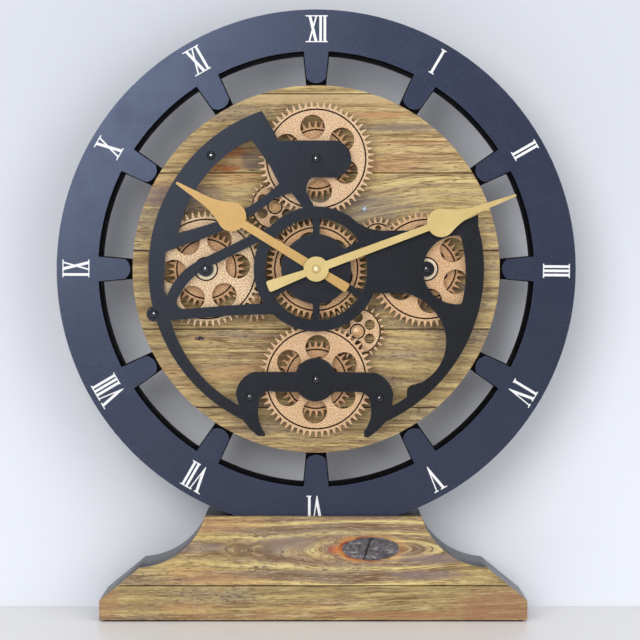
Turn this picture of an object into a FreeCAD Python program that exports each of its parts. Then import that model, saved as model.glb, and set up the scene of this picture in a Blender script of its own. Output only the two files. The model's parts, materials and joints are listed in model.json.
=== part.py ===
import FreeCAD, Part
import math
import os

import Sketcher

# Skeleton mantel clock: a slate ring dial with a planked wooden disc, a pierced front plate,
# thirteen turning wheels and two hands, standing in a slotted wooden base.
# Millimetres. +Z is up, the dial faces -Y, and the origin is under the middle of the base.

DIMENSIONS = [
    # Base, from the table up
    ("base_width", 301.0), ("base_end_height", 14.8), ("base_height", 73.8),
    ("base_shift", -2.1), ("base_front", -32.0), ("base_back", 32.0),
    ("base_panel", 6.5), ("base_joint", 25.3), ("felt_thickness", 1.2), ("felt_inset", 3.0),
    ("base_screw_spacing", 70.0), ("base_screw_radius", 2.5), ("base_screw_head", 4.5),
    # Dial ring, about the dial centre
    ("dial_height", 248.0), ("ring_radius", 183.3), ("ring_inside", 152.5),
    ("face_inside", 154.0), ("face_thickness", 3.0), ("face_back", -22.0), ("ring_back", 1.0),
    ("tab_reach", 131.3), ("tab_root", 17.3), ("tab_tip", 13.7), ("spoke_root", 18.5),
    ("spoke_tip", 14.3), ("seat_radius", 130.6), ("seat_inside", 112.0),
    ("numeral_radius", 169.6), ("numeral_height", 19.0), ("numeral_thickness", 0.5),
    # Wooden disc
    ("disc_radius", 130.0), ("backer_thickness", 5.0), ("plank_thickness", 4.0),
    ("plank_gap", 0.7), ("disc_screw_radius", 1.2), ("rim_screw_circle", 121.0),
    ("rim_screw_radius", 1.75), ("rim_screw_head", 3.4),
    # Wheels
    ("gear_module", 1.4), ("addendum", 1.6), ("dedendum", 2.4), ("mesh_slack", 0.9),
    ("wheel_circle", 77.4), ("gear_back", -25.0), ("gear_thickness", 3.0),
    ("wheel_back", -30.0), ("wheel_thickness", 3.0), ("line_depth", 0.3), ("line_width", 0.5),
    ("hub_raise", 0.6), ("axle_radius", 3.0), ("axle_bore", 3.05), ("sleeve_radius", 5.0),
    ("shoulder_radius", 7.0), ("pin_radius", 2.0), ("pin_bore", 2.05), ("pin_head", 4.0),
    ("spigot_radius", 2.0),
    # Pierced plate
    ("plate_back", -35.5), ("plate_thickness", 3.0), ("plate_radius", 117.5),
    ("plate_ring", 43.8), ("plate_ring_window", 35.7), ("plate_hub", 24.5),
    ("plate_bar", 4.9), ("plate_bore", 6.0), ("plate_pad", 5.3),
    ("plate_screw_radius", 1.5), ("plate_screw_length", 8.0), ("post_radius", 3.0),
    # Hands and quartz movement
    ("bush_radius", 4.0), ("bush_bore", 2.55), ("bush_front", -34.0), ("tube_radius", 2.5),
    ("tube_bore", 1.55), ("arbor_radius", 1.5), ("hand_thickness", 1.2),
    ("hour_hand_back", -41.4), ("minute_hand_back", -44.4), ("movement_side", 56.0),
    ("movement_depth", 16.0), ("movement_front", -12.0), ("nut_radius", 7.5),
    ("nut_thickness", 2.0), ("collar_radius", 7.0), ("knob_radius", 6.0),
    # Gear motor, battery holder and switch
    ("gearbox_radius", 14.5), ("gearbox_depth", 10.0), ("motor_radius", 10.5),
    ("motor_depth", 19.0), ("bracket_thickness", 1.0), ("cell_radius", 7.1),
    ("bracket_screw_reach", 19.5), ("bracket_screw_radius", 1.5),
    ("cell_length", 50.0), ("holder_length", 60.0), ("holder_width", 32.0),
    ("holder_depth", 15.0), ("lead_radius", 0.8),
]

V = FreeCAD.Vector
doc = FreeCAD.newDocument("SkeletonClock")
sheet = doc.addObject("Spreadsheet::Sheet", "Sizes")
for row, (alias, value) in enumerate(DIMENSIONS, start=1):
    sheet.set("A%d" % row, alias)
    sheet.set("B%d" % row, str(value))
    sheet.setAlias("B%d" % row, alias)
doc.recompute()

nodes = []


def size(alias):
    return float(getattr(sheet, alias))


def keep(item):
    """Mark an object as a finished sub-part; its Label names its file."""
    nodes.append(item)
    return item


# ---------------------------------------------------------------- drawing and placing

def outline(start, *moves):
    """Closed outline: a point is a straight run, a pair of points is an arc through the first."""
    curves = []
    here = V(start[0], start[1], 0)
    for move in moves + (start,):
        is_arc = isinstance(move[0], tuple)
        there = V(*move[-1], 0) if is_arc else V(*move, 0)
        if is_arc:
            curves.append(Part.Arc(here, V(*move[0], 0), there))
        elif there.distanceToPoint(here) > 1e-6:
            curves.append(Part.LineSegment(here, there))
        here = there
    return curves


def clock_point(radius, angle):
    """Point at an angle in degrees clockwise from twelve, as seen from the front."""
    turn = math.radians(angle)
    return (radius * math.sin(turn), radius * math.cos(turn))


def add_circle(sketch, alias, x=0.0, y=0.0):
    """Circle whose radius is bound to a cell."""
    index = sketch.addGeometry(Part.Circle(V(x, y, 0), V(0, 0, 1), size(alias)), False)
    number = sketch.addConstraint(Sketcher.Constraint("Radius", index, size(alias)))
    sketch.setExpression("Constraints[%d]" % number, "Sizes." + alias)


def add_sketch(body, role, offset=None):
    """Sketch on one of the body's origin planes, moved along its normal by an expression."""
    plane = [item for item in body.Origin.OriginFeatures if item.Role == role][0]
    sketch = body.newObject("Sketcher::SketchObject", body.Label + "_sketch")
    sketch.AttachmentSupport = [(plane, "")]
    sketch.MapMode = "FlatFace"
    if offset:
        sketch.setExpression(".AttachmentOffset.Base.z", offset)
    return sketch


def add_pad(body, sketch, length):
    pad = body.newObject("PartDesign::Pad", body.Label + "_pad")
    pad.Profile = sketch
    pad.setExpression("Length", length)
    return pad


def add_pocket(body, sketch, length, towards_normal=False):
    pocket = body.newObject("PartDesign::Pocket", body.Label + "_pocket")
    pocket.Profile = sketch
    pocket.Reversed = towards_normal
    pocket.setExpression("Length", length)
    return pocket


def new_body(label):
    body = doc.addObject("PartDesign::Body", label)
    body.Label = label
    return body


def place(item, x="0", y="0", z="0", turn=0.0):
    """Bind a place to the sheet; turn is clockwise as seen from the front."""
    item.Placement = FreeCAD.Placement(V(0, 0, 0), FreeCAD.Rotation(V(0, 1, 0), turn))
    item.setExpression(".Placement.Base.x", x)
    item.setExpression(".Placement.Base.y", y)
    item.setExpression(".Placement.Base.z", z)
    return item


def on_dial(item, back, x=0.0, z=0.0, turn=0.0):
    """Stand a part's back face on a plane of the dial, at a point from the dial centre."""
    return place(item, "%.4f" % x, back, "Sizes.dial_height + %.4f" % z, turn)


def flat_part(label, curves, thickness, circles=()):
    """Sheet part drawn as seen from the front and padded towards the front."""
    body = new_body(label)
    sketch = add_sketch(body, "XZ_Plane")
    sketch.addGeometry(curves, False)
    for circle in circles:
        add_circle(sketch, *circle)
    add_pad(body, sketch, thickness)
    return body


def turned_part(label, start, *moves):
    """Part turned about the Y axis from a half profile of (radius, y) points."""
    body = new_body(label)
    sketch = add_sketch(body, "XY_Plane")
    sketch.addGeometry(outline(start, *moves), False)
    turning = body.newObject("PartDesign::Revolution", label + "_turning")
    turning.Profile = sketch
    turning.ReferenceAxis = (sketch, ["V_Axis"])
    turning.Angle = 360
    return body


def group(label, master, places):
    """Identical loose pieces as one node; each place is (x, y, z) of the master's origin."""
    doc.recompute()
    pieces = []
    for x, y, z in places:
        piece = master.Shape.copy()
        piece.translate(V(x, y, z))
        pieces.append(piece)
    item = doc.addObject("Part::Feature", label)
    item.Label = label
    item.Shape = Part.makeCompound(pieces)
    return keep(item)


def drilled(label, body, drill):
    """Finished part: a body with a group of drills cut out of it."""
    cut = doc.addObject("Part::Cut", label)
    cut.Label = label
    cut.Base = body
    cut.Tool = drill
    return keep(cut)


def cylinder(label, radius, front, back, x=0.0, z=0.0):
    """Round bar along Y about a point from the dial centre; lengths are expressions."""
    bar = doc.addObject("Part::Cylinder", label)
    bar.setExpression("Radius", radius)
    bar.setExpression("Height", "(%s) - (%s)" % (back, front))
    bar.Placement = FreeCAD.Placement(V(0, 0, 0), FreeCAD.Rotation(V(1, 0, 0), 90))
    bar.setExpression(".Placement.Base.x", "%.4f" % x)
    bar.setExpression(".Placement.Base.y", back)
    bar.setExpression(".Placement.Base.z", "Sizes.dial_height + %.4f" % z)
    return bar


def compound(label, items):
    joined = doc.addObject("Part::Compound", label)
    joined.Links = items
    return joined


# ---------------------------------------------------------------- gear geometry

BIG_TEETH = 56
REAR_TEETH = 36
CENTRE_TEETH = 48
LARGE_IDLER_TEETH = 26
SMALL_IDLER_TEETH = 20
HOLE_COUNT = 6
ROOT_SHARE = 0.30
TIP_SHARE = 0.09


def pitch_radius(teeth):
    return size("gear_module") * teeth / 2


def gear_curves(teeth):
    """Straight-flanked teeth with one tooth centred at twelve."""
    step = 360.0 / teeth
    root = pitch_radius(teeth) - size("dedendum")
    tip = pitch_radius(teeth) + size("addendum")
    corners = []
    for tooth in range(teeth):
        middle = tooth * step
        corners.append(clock_point(root, middle - ROOT_SHARE * step))
        corners.append(clock_point(tip, middle - TIP_SHARE * step))
        corners.append(clock_point(tip, middle + TIP_SHARE * step))
        corners.append(clock_point(root, middle + ROOT_SHARE * step))
    return outline(corners[0], *corners[1:])


def engrave(body, radius, thickness):
    """Shallow round line cut into the front face."""
    sketch = add_sketch(body, "XZ_Plane", thickness)
    half = size("line_width") / 2
    for edge in (radius - half, radius + half):
        sketch.addGeometry(Part.Circle(V(0, 0, 0), V(0, 0, 1), edge), False)
    add_pocket(body, sketch, "Sizes.line_depth")


def raised_hub(body, inner, outer, thickness):
    """Low ring around the bore on the front face."""
    sketch = add_sketch(body, "XZ_Plane", thickness)
    for edge in (inner, outer):
        sketch.addGeometry(Part.Circle(V(0, 0, 0), V(0, 0, 1), edge), False)
    add_pad(body, sketch, "Sizes.hub_raise")


def gear_body(label, teeth, bore, hole_circle, hole_radius, hole_turn, lines, thickness):
    """Gear with a bore, a ring of round windows and engraved lines."""
    body = new_body(label)
    sketch = add_sketch(body, "XZ_Plane")
    sketch.addGeometry(gear_curves(teeth), False)
    add_circle(sketch, bore)
    for hole in range(HOLE_COUNT):
        x, y = clock_point(hole_circle, hole_turn + hole * 360.0 / HOLE_COUNT)
        sketch.addGeometry(Part.Circle(V(x, y, 0), V(0, 0, 1), hole_radius), False)
    add_pad(body, sketch, thickness)
    for radius in lines:
        engrave(body, radius, thickness)
    return body


def idler_centre(teeth, towards):
    """Centre of an idler that meshes with the centre gear and one rear wheel."""
    to_centre = pitch_radius(CENTRE_TEETH) + pitch_radius(teeth) + size("mesh_slack")
    to_wheel = pitch_radius(REAR_TEETH) + pitch_radius(teeth) + size("mesh_slack")
    across = size("wheel_circle")
    along = (across ** 2 + to_centre ** 2 - to_wheel ** 2) / (2 * across)
    aside = math.sqrt(to_centre ** 2 - along ** 2)
    x, z = clock_point(along, towards)
    side_x, side_z = clock_point(aside, towards - 90)
    return (x + side_x, z + side_z)


def meshing_turn(from_centre, from_teeth, from_turn, to_centre, to_teeth):
    """Turn that puts a gap of the second gear over a tooth of the first on their line."""
    across = to_centre[0] - from_centre[0]
    up = to_centre[1] - from_centre[1]
    line = math.degrees(math.atan2(across, up))
    share = (from_turn - line) * from_teeth / 360.0
    return line + 180.0 + (0.5 - share) * 360.0 / to_teeth


# ---------------------------------------------------------------- base

BASE_SLOPE_TOP = (-122.7, 37.5)
BASE_CURVE_MIDDLE = (-98.0, 45.4)
BASE_TOP_CORNER = (-76.3, 73.8)


def base_curves(bottom, top):
    """Front view of the base between two heights, about the base centre."""
    half = size("base_width") / 2
    end = size("base_end_height")
    slope_x, slope_z = BASE_SLOPE_TOP
    if top < slope_z:
        cut_x = half - (top - end) * (half + slope_x) / (slope_z - end)
        return outline((-half, bottom), (-half, end), (-cut_x, top), (cut_x, top),
                       (half, end), (half, bottom))
    low_half = half
    left_rise = [(-half, end)]
    right_fall = [(half, end)]
    if bottom > end:
        low_half = half - (bottom - end) * (half + slope_x) / (slope_z - end)
        left_rise = []
        right_fall = []
    middle_x, middle_z = BASE_CURVE_MIDDLE
    corner_x, corner_z = BASE_TOP_CORNER
    return outline((-low_half, bottom), *left_rise, (slope_x, slope_z),
                   ((middle_x, middle_z), (corner_x, corner_z)), (-corner_x, corner_z),
                   ((-middle_x, middle_z), (-slope_x, slope_z)), *right_fall,
                   (low_half, bottom))


def make_base():
    felt = size("felt_thickness")
    joint = size("base_joint")
    half_seam = 0.35
    core = new_body("base_core")
    sketch = add_sketch(core, "XZ_Plane")
    sketch.addGeometry(base_curves(felt, size("base_height")), False)
    add_pad(core, sketch, "Sizes.base_back - Sizes.base_front - Sizes.base_panel")
    slot = add_sketch(core, "XZ_Plane",
                      "Sizes.base_back - Sizes.base_front - Sizes.base_panel")
    slot_radius = size("ring_radius") + 0.1
    slot_centre = V(-size("base_shift"), size("dial_height"), 0)
    slot.addGeometry(Part.Circle(slot_centre, V(0, 0, 1), slot_radius), False)
    add_pocket(core, slot,
               "Sizes.ring_back - Sizes.base_front - Sizes.base_panel + 0.3")
    for radius, depth in (("base_screw_radius", "72"), ("base_screw_head", "22")):
        bores = add_sketch(core, "XY_Plane")
        for side in (-1, 1):
            add_circle(bores, radius, side * size("base_screw_spacing") / 2
                       - size("base_shift"), -(size("base_back") + 12.0))
        add_pocket(core, bores, depth, towards_normal=True)
    place(core, "Sizes.base_shift", "Sizes.base_back")
    keep(core)

    lower = flat_part("base_front_lower", base_curves(felt, joint - half_seam),
                      "Sizes.base_panel")
    upper = flat_part("base_front_upper", base_curves(joint + half_seam, size("base_height")),
                      "Sizes.base_panel")
    for panel in (lower, upper):
        keep(place(panel, "Sizes.base_shift", "Sizes.base_front + Sizes.base_panel"))

    pad = doc.addObject("Part::Box", "base_felt")
    pad.setExpression("Length", "Sizes.base_width - 2 * Sizes.felt_inset")
    pad.setExpression("Width", "Sizes.base_back - Sizes.base_front - 2 * Sizes.felt_inset")
    pad.setExpression("Height", "Sizes.felt_thickness")
    keep(place(pad, "Sizes.base_shift - Sizes.base_width / 2 + Sizes.felt_inset",
               "Sizes.base_front + Sizes.felt_inset"))


def make_base_screws():
    """Two long screws that hold the ring down from inside the base's counterbores."""
    head = size("base_screw_head") - 0.2
    shank = size("base_screw_radius")
    screw = new_body("base_screw_master")
    sketch = add_sketch(screw, "XZ_Plane")
    sketch.addGeometry(outline((0, 0), (head, 0), (head, 3.5), (shank, 3.5),
                               (shank, 63.0), (0, 65.0)), False)
    turning = screw.newObject("PartDesign::Revolution", "base_screw_turning")
    turning.Profile = sketch
    turning.ReferenceAxis = (sketch, ["V_Axis"])
    turning.Angle = 360
    socket = add_sketch(screw, "XY_Plane")
    corners = [clock_point(2.3, 60 * corner) for corner in range(6)]
    socket.addGeometry(outline(corners[0], *corners[1:]), False)
    add_pocket(screw, socket, "2", towards_normal=True)
    places = []
    for side in (-1, 1):
        places.append((side * size("base_screw_spacing") / 2, -12.0, 18.5))
    group("base_screws", screw, places)


# ---------------------------------------------------------------- dial ring

HOURS = 12


def face_tabs():
    """Inner edge of the face: twelve tapering tabs with round ends."""
    inside = size("face_inside")
    root = size("tab_root") / 2
    tip = size("tab_tip") / 2
    reach = size("tab_reach")
    root_radius = math.sqrt(inside ** 2 - root ** 2)
    moves = []
    for hour in range(HOURS):
        turn = hour * 360.0 / HOURS

        def spot(across, out):
            radius = math.hypot(across, out)
            return clock_point(radius, turn + math.degrees(math.atan2(across, out)))

        moves.append(spot(-root, root_radius))
        moves.append(spot(-tip, reach + 3.5))
        moves.append((spot(0, reach), spot(tip, reach + 3.5)))
        moves.append(spot(root, root_radius))
        arc_middle = clock_point(inside, turn + 180.0 / HOURS)
        next_turn = turn + 360.0 / HOURS
        edge = math.degrees(math.asin(root / inside))
        moves.append((arc_middle, clock_point(inside, next_turn - edge)))
    return outline(moves[0], *moves[1:-1], (moves[-1][0], moves[0]))


def ring_windows():
    """Twelve openings between spokes that narrow towards the disc."""
    outer = size("ring_inside")
    inner = size("seat_radius")
    curves = []
    for hour in range(HOURS):
        middle = (hour + 0.5) * 360.0 / HOURS
        reach = 180.0 / HOURS
        out_edge = reach - math.degrees(math.asin(size("spoke_root") / 2 / outer))
        in_edge = reach - math.degrees(math.asin(size("spoke_tip") / 2 / inner))
        curves += outline(clock_point(outer, middle - out_edge),
                          (clock_point(outer, middle), clock_point(outer, middle + out_edge)),
                          clock_point(inner, middle + in_edge),
                          (clock_point(inner, middle), clock_point(inner, middle - in_edge)))
    return curves


def rim_screw_spots():
    circle = size("rim_screw_circle")
    return [clock_point(circle, hour * 360.0 / HOURS) for hour in range(HOURS)]


def make_ring():
    face = flat_part("dial_face", face_tabs(), "Sizes.face_thickness", [("ring_radius",)])
    keep(on_dial(face, "Sizes.face_back"))

    body = flat_part("ring_body", ring_windows(), "Sizes.ring_back - Sizes.face_back",
                     [("ring_radius",), ("seat_inside",)])
    seat = add_sketch(body, "XZ_Plane", "Sizes.ring_back - Sizes.face_back")
    add_circle(seat, "seat_radius")
    add_pocket(body, seat, "Sizes.backer_thickness + Sizes.plank_thickness")
    holes = add_sketch(body, "XZ_Plane")
    for x, z in rim_screw_spots():
        add_circle(holes, "rim_screw_radius", x, z)
    add_pocket(body, holes, "20", towards_normal=True)
    recesses = add_sketch(body, "XZ_Plane")
    for x, z in rim_screw_spots():
        add_circle(recesses, "rim_screw_head", x, z)
    add_pocket(body, recesses, "2", towards_normal=True)
    pilots = add_sketch(body, "XY_Plane", "0 - Sizes.dial_height")
    for side in (-1, 1):
        add_circle(pilots, "base_screw_radius", side * size("base_screw_spacing") / 2,
                   -(size("ring_back") + 12.0))
    add_pocket(body, pilots, "83.5", towards_normal=True)
    keep(on_dial(body, "Sizes.ring_back"))


# Letters one unit tall: advance, then closed loops of (x, y); inner loops are holes.
GLYPHS = {
    "I": (0.157, [[(0, 0), (0.152, 0), (0.152, 0.035), (0.1245, 0.05), (0.1245, 0.95),
                   (0.152, 0.965), (0.152, 1), (0, 1), (0, 0.965), (0.0275, 0.95),
                   (0.0275, 0.05), (0, 0.035)]]),
    "V": (0.480, [[(0.258, 0), (0.29, 0), (0.425, 0.95), (0.475, 0.965), (0.475, 1),
                   (0.335, 1), (0.335, 0.965), (0.380, 0.955), (0.294, 0.348),
                   (0.178, 0.955), (0.235, 0.965), (0.235, 1), (0, 1), (0, 0.965),
                   (0.072, 0.955)]]),
    "X": (0.457, [[(0, 0), (0.452, 0), (0.452, 0.035), (0.412, 0.05), (0.288, 0.557),
                   (0.398, 0.955), (0.452, 0.965), (0.452, 1), (0, 1), (0, 0.965),
                   (0.085, 0.95), (0.202, 0.466), (0.087, 0.05), (0, 0.035)],
                  [(0.146, 0.04), (0.305, 0.04), (0.2307, 0.348)],
                  [(0.190, 0.96), (0.2597, 0.674), (0.339, 0.96)]]),
}
LETTER_GAP = 0.005
SERIF_END = 0.032
# Each numeral with its small turn off its own hour, in degrees.
NUMERALS = [("XII", 0.1), ("I", 0.35), ("II", 0.35), ("III", 0.45), ("IV", 1.1), ("V", 0.5),
            ("VI", 0.1), ("VII", -0.1), ("VIII", -0.5), ("IX", 0.15), ("X", 0.3), ("XI", 0.15)]


def numeral_loops(numeral):
    """Loops of a whole numeral, centred across, with longer serifs at its two ends."""
    width = sum(GLYPHS[letter][0] for letter in numeral) - LETTER_GAP
    start = -width / 2
    loops = []
    for place_in_word, letter in enumerate(numeral):
        advance, shapes = GLYPHS[letter]
        right = advance - LETTER_GAP
        for shape in shapes:
            loop = []
            for x, y in shape:
                if place_in_word == 0 and x == 0:
                    x -= SERIF_END
                if place_in_word == len(numeral) - 1 and abs(x - right) < 1e-9:
                    x += SERIF_END
                loop.append((start + x, y))
            loops.append(loop)
        start += advance
    return loops


def make_numerals():
    """Raised roman numerals with their tops outward."""
    letters = doc.addObject("Sketcher::SketchObject", "numeral_sketch")
    tall = size("numeral_height")
    low = size("numeral_radius") - tall / 2
    for hour, (numeral, lean) in enumerate(NUMERALS):
        turn = hour * 360.0 / HOURS + lean
        for loop in numeral_loops(numeral):
            corners = []
            for x, y in loop:
                side = x * tall
                out = low + y * tall
                bend = math.degrees(math.atan2(side, out))
                corners.append(clock_point(math.hypot(side, out), turn + bend))
            letters.addGeometry(outline(corners[0], *corners[1:]), False)
    letters.Placement = FreeCAD.Placement(V(0, 0, 0), FreeCAD.Rotation(V(1, 0, 0), 90))
    raised = doc.addObject("Part::Extrusion", "hour_numerals")
    raised.Label = "hour_numerals"
    raised.Base = letters
    raised.DirMode = "Custom"
    raised.Dir = V(0, -1, 0)
    raised.Solid = True
    raised.setExpression("LengthFwd", "Sizes.numeral_thickness")
    keep(on_dial(raised, "Sizes.face_back - Sizes.face_thickness"))


# ---------------------------------------------------------------- wooden disc

PLANK_JOINTS = [-131.0, -98.0, -42.6, 12.9, 67.9, 123.9, 131.0]
POST_SPOTS = [(-73.5, 79.5), (-46.5, -89.5), (44.5, -90.5), (-113.5, -31.5)]
HOLDER_SCREW_SPOTS = [(34.0, 42.3), (12.0, 60.0)]
WHEEL_NAMES = ["north", "east", "south", "west"]


def wheel_spot(index):
    return clock_point(size("wheel_circle"), 90.0 * index)


IDLERS = {
    "lower_right": (LARGE_IDLER_TEETH, 180.0),
    "upper_left": (LARGE_IDLER_TEETH, 0.0),
    "upper_right": (SMALL_IDLER_TEETH, 90.0),
    "lower_left": (SMALL_IDLER_TEETH, 270.0),
}
DRIVEN_IDLER = "upper_left"
IDLER_SPOTS = {name: idler_centre(*IDLERS[name]) for name in IDLERS}


def disc_drills():
    """Everything that passes through the wooden disc."""
    through = ("Sizes.face_back - 1", "Sizes.face_back + 10")
    drills = [cylinder("drill_bush", "Sizes.bush_radius + 0.3", *through)]
    for name, (x, z) in IDLER_SPOTS.items():
        radius = "3.5" if name == DRIVEN_IDLER else "Sizes.spigot_radius"
        drills.append(cylinder("drill_" + name, radius, *through, x, z))
    for index in range(len(WHEEL_NAMES)):
        drills.append(cylinder("drill_wheel", "Sizes.spigot_radius", *through,
                               *wheel_spot(index)))
    for x, z in POST_SPOTS:
        drills.append(cylinder("drill_post", "Sizes.spigot_radius", *through, x, z))
    for x, z in HOLDER_SCREW_SPOTS:
        drills.append(cylinder("drill_screw", "Sizes.disc_screw_radius", *through, x, z))
    return compound("disc_drills", drills)


def make_disc():
    drills = disc_drills()
    pilot = "Sizes.face_back + Sizes.plank_thickness + 1"
    pilots = []
    for x, z in rim_screw_spots():
        pilots.append(cylinder("drill_rim", "Sizes.rim_screw_radius", pilot,
                               "Sizes.face_back + 10", x, z))
    board = cylinder("backer_blank", "Sizes.disc_radius",
                     "Sizes.face_back + Sizes.plank_thickness",
                     "Sizes.face_back + Sizes.plank_thickness + Sizes.backer_thickness")
    motor_x, motor_z = IDLER_SPOTS[DRIVEN_IDLER]
    for side in (-1, 1):
        pilots.append(cylinder("drill_bracket", "Sizes.bracket_screw_radius", pilot,
                               "Sizes.face_back + 10",
                               motor_x + side * size("bracket_screw_reach"), motor_z))
    drilled("disc_backer", board, compound("backer_drills", [drills] + pilots))
    for number in range(len(PLANK_JOINTS) - 1):
        low, high = PLANK_JOINTS[number:number + 2]
        strip = doc.addObject("Part::Box", "plank_strip")
        strip.setExpression("Length", "2 * Sizes.disc_radius + 4")
        strip.setExpression("Width", "Sizes.plank_thickness")
        strip.setExpression("Height", "%.2f - Sizes.plank_gap" % (high - low))
        place(strip, "0 - Sizes.disc_radius - 2", "Sizes.face_back",
              "Sizes.dial_height + %.2f + Sizes.plank_gap / 2" % low)
        blank = cylinder("plank_blank", "Sizes.disc_radius", "Sizes.face_back",
                         "Sizes.face_back + Sizes.plank_thickness")
        plank = doc.addObject("Part::Common", "plank_shape")
        plank.Base = blank
        plank.Tool = strip
        drilled("disc_plank_%d" % (number + 1), plank, drills)


def make_disc_fasteners():
    tip = size("face_back") + size("plank_thickness") + 1.2
    head = size("rim_screw_head") - 0.1
    shank = size("rim_screw_radius")
    back = size("ring_back")
    rim = turned_part("rim_screw_master", (0, back - 0.2), (0, tip), (shank, tip + 1.5),
                      (shank, back - 2), (head, back - 2), (head, back - 0.2))
    places = [(x, 0, size("dial_height") + z) for x, z in rim_screw_spots()]
    group("rim_screws", rim, places)

    front = size("face_back")
    thin = size("disc_screw_radius")
    screw = turned_part("disc_screw_master", (0, front - 1.2),
                        ((1.4, front - 0.95), (2.35, front)), (thin, front),
                        (thin, front + 9.6), (0, front + 10.2))
    doc.recompute()
    for turn in (45, 135):
        slot = add_sketch(screw, "XZ_Plane", "%.3f" % (1.3 - front))
        across = [clock_point(1.5, turn - 9), clock_point(1.5, turn + 9),
                  clock_point(1.5, turn + 171), clock_point(1.5, turn + 189)]
        slot.addGeometry(outline(across[0], *across[1:]), False)
        add_pocket(screw, slot, "0.9")
    places = [(x, 0, size("dial_height") + z) for x, z in HOLDER_SCREW_SPOTS]
    group("disc_screws", screw, places)


# ---------------------------------------------------------------- pierced front plate

def plate_edge():
    """Outer edge, from the tip of the left crescent anticlockwise."""
    rim = size("plate_radius")
    return outline(
        (-38.0, 110.8), (clock_point(rim, 275), clock_point(rim, 206)), (-46.0, -112.5),
        (-40.5, -117.0), (-36.0, -117.0), (-35.5, -115.5), ((-40.5, -103.0), (-40.0, -93.0)),
        ((-37.5, -87.5), (-29.5, -86.0)), (-12.7, -86.0), ((-0.5, -92.7), (11.7, -86.0)),
        (29.5, -86.0), ((36.0, -89.0), (38.0, -95.0)), ((37.5, -106.0), (33.5, -113.5)),
        (33.5, -117.5), (36.5, -118.0), ((43.5, -112.5), (48.5, -107.0)),
        (clock_point(rim, 110), (115.7, 20.5)), (113.5, 30.5), (113.5, 38.5),
        ((88.0, 29.0), (64.5, 27.0)), (50.0, 27.0), ((37.0, 28.5), (24.5, 36.3)),
        (clock_point(size("plate_ring"), 15), (-1.5, 43.8)), (-5.5, 51.5),
        ((-6.7, 58.0), (-3.0, 64.0)), (14.0, 64.0), ((24.5, 77.0), (14.0, 90.0)),
        (-26.5, 90.0), (-31.0, 99.0))


def plate_openings():
    """The four shaped openings and the windowed centre ring."""
    ring = size("plate_ring")
    upper_left = outline((-46.0, 90.5), ((-79.3, 63.3), (-96.5, 25.0)), (-81.5, 29.5),
                         ((-53.0, 40.5), (-26.0, 59.5)), (-32.0, 71.5), (-43.5, 88.0))
    west_upper = outline((-105.5, 12.0), (-91.0, 17.5), ((-57.0, 31.0), (-28.5, 49.5)),
                         (-17.5, 53.5), (-9.0, 42.9),
                         (clock_point(ring, 330), clock_point(ring, 313)), (-50.0, 21.5),
                         (-82.5, 5.8), ((-94.0, -2.5), (-104.5, -19.0)), (-106.5, -15.0))
    west_lower = outline((-39.2, 19.6), (-69.5, 4.0), ((-86.0, -5.5), (-96.0, -19.0)),
                         ((-97.3, -25.0), (-93.5, -28.0)), (-53.5, -25.0), (-36.6, -24.0),
                         (clock_point(ring, 268), (-39.2, 19.6)))
    notch = clock_point(size("plate_radius") - 7.8, 209.6)
    foot = clock_point(size("plate_radius") - 7.8, 151.0)
    shoulder = clock_point(size("plate_radius") - 7.8, 144.7)
    below = outline((-30.3, -31.6), (-59.0, -32.5), (-102.0, -36.0),
                    (clock_point(size("plate_radius") - 7.8, 231.0), notch),
                    (-56.3, -88.0), ((-52.0, -77.3), (-43.5, -72.0)), (-14.2, -72.0),
                    ((-0.5, -62.3), (13.2, -72.0)), (41.0, -72.5),
                    ((49.5, -78.0), (54.0, -87.0)), foot,
                    (clock_point(size("plate_radius") - 7.8, 148.0), shoulder),
                    (63.5, -85.8), ((64.8, -82.6), (68.5, -81.0)), (74.0, -79.2),
                    ((91.0, -51.0), (83.5, -30.5)), ((73.5, -21.5), (62.5, -17.0)),
                    (40.4, -17.0), (clock_point(ring, 175), (-30.3, -31.6)))
    return upper_left + west_upper + west_lower + below


def east_window():
    """Round window cut short on its outer side."""
    return outline((101.0, 23.3), ((104.7, 0.0), (102.0, -24.5)), ((74.8, 0.0), (101.0, 23.3)))


def centre_windows():
    """Six windows between the centre ring and the hub plate."""
    outer = size("plate_ring_window")
    inner = size("plate_hub")
    half = size("plate_bar") / 2
    curves = []
    for index in range(HOLE_COUNT):
        middle = 30.0 + 60.0 * index
        out_edge = 30.0 - math.degrees(math.asin(half / outer))
        in_edge = 30.0 - math.degrees(math.asin(half / inner))
        curves += outline(clock_point(outer, middle - out_edge),
                          (clock_point(outer, middle), clock_point(outer, middle + out_edge)),
                          clock_point(inner, middle + in_edge),
                          (clock_point(inner, middle), clock_point(inner, middle - in_edge)))
    return curves


def plate_screw_spots():
    return [wheel_spot(index) for index in range(len(WHEEL_NAMES))] + POST_SPOTS


def make_plate():
    sheet_body = flat_part("plate_blank", plate_edge() + plate_openings() + east_window()
                           + centre_windows(), "Sizes.plate_thickness", [("plate_bore",)])
    on_dial(sheet_body, "Sizes.plate_back")
    pads = [sheet_body]
    for x, z in plate_screw_spots():
        pads.append(cylinder("plate_pad", "Sizes.plate_pad",
                             "Sizes.plate_back - Sizes.plate_thickness",
                             "Sizes.plate_back", x, z))
    joined = doc.addObject("Part::MultiFuse", "plate_with_pads")
    joined.Shapes = pads
    drills = []
    for x, z in plate_screw_spots():
        drills.append(cylinder("plate_drill", "Sizes.plate_screw_radius",
                               "Sizes.plate_back - Sizes.plate_thickness - 1",
                               "Sizes.plate_back + 1", x, z))
    drilled("front_plate", joined, compound("plate_drills", drills))


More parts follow.
